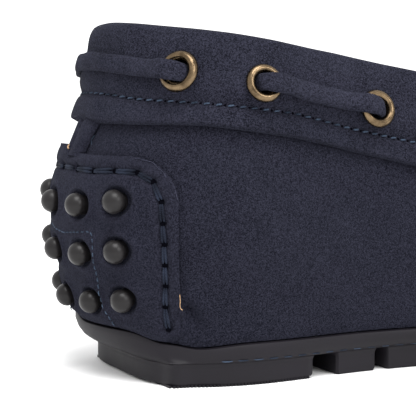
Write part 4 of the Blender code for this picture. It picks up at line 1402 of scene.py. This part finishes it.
def lug_outline(start, end):
    """Plan outline of a lug between two lengths, its corners drawn in."""
    x = np.concatenate([[start], np.linspace(start + 0.5, end - 0.5, 9), [end]])
    tuck = np.where((x == start) | (x == end), 0.6, 0.0)
    outer = np.stack([x, tread_side(x, -1) + tuck], axis=-1)
    inner = np.stack([x, tread_side(x, 1) - tuck], axis=-1)[::-1]
    return np.concatenate([outer, inner])


def lug_body(name, outline, floor):
    """A lug: a narrow neck under the plate, rounded edges, and a flat face at a height over the tread's."""
    middle = (outline.min(axis=0) + outline.max(axis=0)) / 2
    half = (outline.max(axis=0) - outline.min(axis=0)) / 2
    neck = ((0.2, 0.9), (-0.28, 0.2), (-0.26, 0.0), (-0.1, -0.35), (0.0, -0.9))
    foot = ((0.0, 0.75), (0.06, 0.42), (0.2, 0.12), (0.5, 0.0))
    rings = []
    for inset, z in [(n, TREAD_HEIGHT + z) for n, z in neck] + [(n, floor + z) for n, z in foot]:
        plan = middle + (outline - middle) * (half - inset) / half
        rings.append(raised(plan, z + spring(plan[:, 0])))
    return soften(closed_tube(name, np.array(rings)), 42)


def make_ribs(outline):
    """Fine cross ribs moulded under the heel block."""
    x = np.arange(outline[:, 0].min() + 3.0, BLOCK_FRONT - 1.0, RIB_PITCH)
    points, faces = [], []
    for k, place in enumerate(x):
        y = [float(tread_side(max(place, -14.0), side)) for side in (-1, 1)]
        if place < -6.0:
            near = outline[np.abs(outline[:, 0] - place) < 0.8, 1]
            y = [near.min(), near.max()]
        y = (y[0] + 0.12, y[1] - 0.12)
        for across in y:
            corners = ((-0.24, RIB_HEIGHT + 0.1), (0.24, RIB_HEIGHT + 0.1), (0.22, 0.0), (-0.22, 0.0))
            points += [(place + ahead, across, z) for ahead, z in corners]
        a = 8 * k
        faces += [(a, a + 1, a + 2, a + 3), (a + 7, a + 6, a + 5, a + 4)]
        faces += [(a + i, a + 4 + i, a + 4 + (i + 1) % 4, a + (i + 1) % 4) for i in range(4)]
    return edit(new_piece("heel_ribs", points, faces), FACES_OUT)


def toward_edge(level, x, share):
    """Height above the floor at a share of the way from a level up to the wall's foot."""
    return level + spring(x) + (edge_z(x) - level - spring(x)) * share


def make_sole(finish):
    """Plate, heel block, ribs and lugs, joined into one, and the stitches along its sloping edge."""
    outer, inner = half_places()
    ring = np.concatenate([outer, inner[::-1][1:]])
    rows = np.stack([plate_edge(ring, row) for row in PLATE_EDGE])
    plate = cloth_grid("sole_plate", rows)
    bed = across_sheet(
        "bed", foot_point(outer, -2.6), foot_point(inner, -2.6), 9,
        lambda x, w: toward_edge(SOLE_TOP, x, np.clip(1 - 30 * w * (1 - w), 0, 1)),
    )
    under_row = PLATE_EDGE[-1]
    under = across_sheet(
        "under", plate_edge(outer, under_row)[:, :2], plate_edge(inner, under_row)[:, :2], 9,
        lambda x, w: toward_edge(TREAD_HEIGHT, x, 1 - under_row[2]),
    )
    join([plate, bed, under])
    edit(plate, (bpy.ops.mesh.remove_doubles, {"threshold": 2e-5}), FACES_OUT)
    soften(plate, 42)
    block = block_outline()
    bodies = [lug_body("heel_block", block, RIB_HEIGHT), make_ribs(block)]
    start = BLOCK_FRONT + HEEL_GROOVE
    while start + LUG_LENGTH < TREAD_END:
        bodies.append(lug_body("lug", lug_outline(start, start + LUG_LENGTH), 0.0))
        start += LUG_LENGTH + LUG_GROOVE
    join([plate, *bodies])
    plate.name = plate.data.name = "rubber_sole"
    dress(plate, finish["sole"], "sole_rubber", "outsole")
    frames = []
    s = [np.arange(SOLE_STITCH_START, end, SOLE_STITCH_PITCH) for end in (TOE, ROUND - TOE)]
    for place in np.concatenate([s[0], ROUND - s[1]]):
        ends = plate_edge(np.array([place - 0.5, place + 0.5]), SOLE_STITCH_ROW)
        out = np.array([*plan_out(place, TREAD), -0.5])
        frames.append(frame_of(ends.mean(axis=0), ends[1] - ends[0], out))
    stamp("sole_stitches", thread_model(2.5, 0.30, 0.34), frames, finish["blue_thread"], "sole_rubber")


def make_insole(finish):
    sides = [foot_point(places, INSOLE_OUT)[1:-1] for places in half_places()]
    piece = across_sheet(
        "insole_leather", *sides[::-1], 33,
        lambda x, w: INSOLE_TOP + spring(x) + INSOLE_CUP * (2 * np.abs(w - 0.5)) ** 6,
    )
    thicken(piece, INSOLE_THICK)
    round_edges(piece, 0.5, 2)
    edit(piece, FACES_OUT)
    dress(piece, finish["lining"], "insole_leather", "insole")
    return soften(piece)


# ---- the stage ----
CAMERA_PLACE = (-0.1577, -0.3411, 0.070)
CAMERA_TURN = math.radians(25.4)
CAMERA_TILT = math.radians(5.0)
CAMERA_LENS = 139.33


LIGHT_AIM = (0.03, 0.0, 0.03)


def area_light(name, place, size, power):
    """A square softbox that faces the shoe."""
    bpy.ops.object.light_add(type="AREA", location=place)
    lamp = bpy.context.object
    lamp.name = lamp.data.name = name
    lamp.data.size = size
    lamp.data.energy = power
    way = Vector(LIGHT_AIM) - Vector(place)
    lamp.rotation_euler = way.to_track_quat("-Z", "Y").to_euler()


def make_stage(settings):
    floor = primitive("floor", "plane", size=16.0)
    paper = tuple(settings.floor_colour)
    shade = tuple(0.99 * c for c in paper)
    floor.data.materials.append(plain("white_paper", paper, shade, (60.0, 3.0), 0.95, 0.1))
    bpy.ops.object.camera_add(location=CAMERA_PLACE)
    camera = bpy.context.object
    ahead = Vector(
        (
            math.sin(CAMERA_TURN) * math.cos(CAMERA_TILT),
            math.cos(CAMERA_TURN) * math.cos(CAMERA_TILT),
            -math.sin(CAMERA_TILT),
        )
    )
    camera.rotation_euler = ahead.to_track_quat("-Z", "Y").to_euler()
    camera.data.sensor_width = 36.0
    camera.data.lens = CAMERA_LENS
    camera.data.clip_start = 0.01
    camera.data.clip_end = 30.0
    bpy.context.scene.camera = camera
    world = bpy.data.worlds.new("studio")
    world.use_nodes = True
    world.node_tree.nodes["Background"].inputs["Color"].default_value = (1, 1, 1, 1)
    world.node_tree.nodes["Background"].inputs["Strength"].default_value = settings.room_light
    bpy.context.scene.world = world
    area_light("softbox_front", (0.34, -0.98, 0.60), 0.45, 9.0 * settings.front_light)
    area_light("softbox_top", (-0.12, -0.42, 1.05), 0.65, 10.0 * settings.top_light)
    bpy.context.scene.view_settings.view_transform = "Standard"
    bpy.context.scene.view_settings.look = "None"


# ---- settings, operators and panel ----
def length_setting(name, description, default):
    low, high = default / 2, default * 1.5
    return bpy.props.FloatProperty(
        name=name, description=description, unit="LENGTH", precision=5, min=low, max=high, default=default
    )


def colour_setting(name, description, default):
    return bpy.props.FloatVectorProperty(
        name=name, description=description, subtype="COLOR", size=3, min=0.0, max=1.0, default=default
    )


def light_setting(name, description, default):
    return bpy.props.FloatProperty(name=name, description=description, min=0.0, max=10.0, default=default)


class LoaferSettings(bpy.types.PropertyGroup):
    """Sizes, colours and light of the loafer."""

    upper_thickness: length_setting("Upper thickness", "Thickness of the suede of the wall and the apron", 0.002)
    thong_thickness: length_setting("Thong thickness", "Thickness of the suede thong at its middle", 0.00195)
    pebble_radius: length_setting("Pebble radius", "Radius of a rubber pebble where it leaves the counter", 0.00265)
    pebble_height: length_setting("Pebble height", "How far a pebble stands out from the counter", 0.0033)
    stitch_pitch: length_setting("Stitch pitch", "Length from stitch to stitch along the collar band", 0.0025)
    suede_colour: colour_setting("Suede", "Deep colour of the suede, between its fibres", (0.0030, 0.0031, 0.0056))
    suede_light: colour_setting(
        "Suede tips", "Colour of the suede where its fibres catch the light", (0.0208, 0.0212, 0.0328)
    )
    sole_colour: colour_setting("Sole", "Colour of the rubber sole", (0.0063, 0.0053, 0.0077))
    floor_colour: colour_setting("Floor", "Colour of the floor paper", (0.92, 0.92, 0.92))
    room_light: light_setting("Room light", "Strength of the even light from all round", 1.42)
    front_light: light_setting("Front light", "Strength of the softbox in front", 0.6)
    top_light: light_setting("Top light", "Strength of the softbox overhead", 1.5)


FINISH = {}


class PieceOperator:
    """What every piece's operator does: it makes its pieces from the finishes."""

    bl_options = {"REGISTER", "UNDO"}
    makes = ()

    def execute(self, context):
        if not FINISH:
            FINISH.update(make_finishes(context.scene.loafer))
        for make in self.makes:
            make(FINISH)
        return {"FINISHED"}


class LOAFER_OT_upper(PieceOperator, bpy.types.Operator):
    """Makes the wall, the apron, the hand-sewn ridge between them and the tongue"""

    bl_idname = "loafer.upper"
    bl_label = "Upper and tongue"
    makes = (make_wall, make_apron, make_seam, make_tongue)


class LOAFER_OT_collar(PieceOperator, bpy.types.Operator):
    """Makes the folded collar band with its stitch line"""

    bl_idname = "loafer.collar"
    bl_label = "Collar band"
    makes = (make_collar, make_collar_stitches)


class LOAFER_OT_lacing(PieceOperator, bpy.types.Operator):
    """Makes the brass eyelets and runs the suede thong through them"""

    bl_idname = "loafer.lacing"
    bl_label = "Eyelets and thong"
    makes = (make_eyelets, make_thong)


class LOAFER_OT_counter(PieceOperator, bpy.types.Operator):
    """Makes the stitched heel counter, the strip above it and its loose fibres"""

    bl_idname = "loafer.counter"
    bl_label = "Heel counter"
    makes = (make_counter, make_strip, make_counter_stitches, make_cut_edge_highlight, make_loose_fibres)


class LOAFER_OT_pebbles(PieceOperator, bpy.types.Operator):
    """Makes the rubber pebbles of the heel"""

    bl_idname = "loafer.pebbles"
    bl_label = "Pebbles"
    makes = (make_pebbles,)


class LOAFER_OT_sole(PieceOperator, bpy.types.Operator):
    """Makes the lugged rubber sole with its stitching, and the insole"""

    bl_idname = "loafer.sole"
    bl_label = "Sole and insole"
    makes = (make_sole, make_insole)


class LOAFER_OT_stage(bpy.types.Operator):
    """Sets up the floor, the camera and the lights"""

    bl_idname = "loafer.stage"
    bl_label = "Stage"
    bl_options = {"REGISTER", "UNDO"}

    def execute(self, context):
        make_stage(context.scene.loafer)
        return {"FINISHED"}


class LOAFER_PT_panel(bpy.types.Panel):
    """Lists the loafer's settings and pieces"""

    bl_label = "Loafer"
    bl_idname = "LOAFER_PT_panel"
    bl_space_type = "VIEW_3D"
    bl_region_type = "UI"
    bl_category = "Loafer"

    def draw(self, context):
        settings = context.scene.loafer
        for name in settings.__annotations__:
            self.layout.prop(settings, name)
        for operator in OPERATORS:
            self.layout.operator(operator.bl_idname)


OPERATORS = (
    LOAFER_OT_stage,
    LOAFER_OT_upper,
    LOAFER_OT_collar,
    LOAFER_OT_lacing,
    LOAFER_OT_counter,
    LOAFER_OT_pebbles,
    LOAFER_OT_sole,
)
CLASSES = (LoaferSettings, *OPERATORS, LOAFER_PT_panel)


def register():
    for made in CLASSES:
        bpy.utils.register_class(made)
    bpy.types.Scene.loafer = bpy.props.PointerProperty(type=LoaferSettings)


def unregister():
    del bpy.types.Scene.loafer
    for made in reversed(CLASSES):
        bpy.utils.unregister_class(made)


def main():
    register()
    bpy.ops.loafer.stage()
    bpy.ops.loafer.upper()
    bpy.ops.loafer.collar()
    bpy.ops.loafer.lacing()
    bpy.ops.loafer.counter()
    bpy.ops.loafer.pebbles()
    bpy.ops.loafer.sole()


if __name__ == "__main__":
    main()
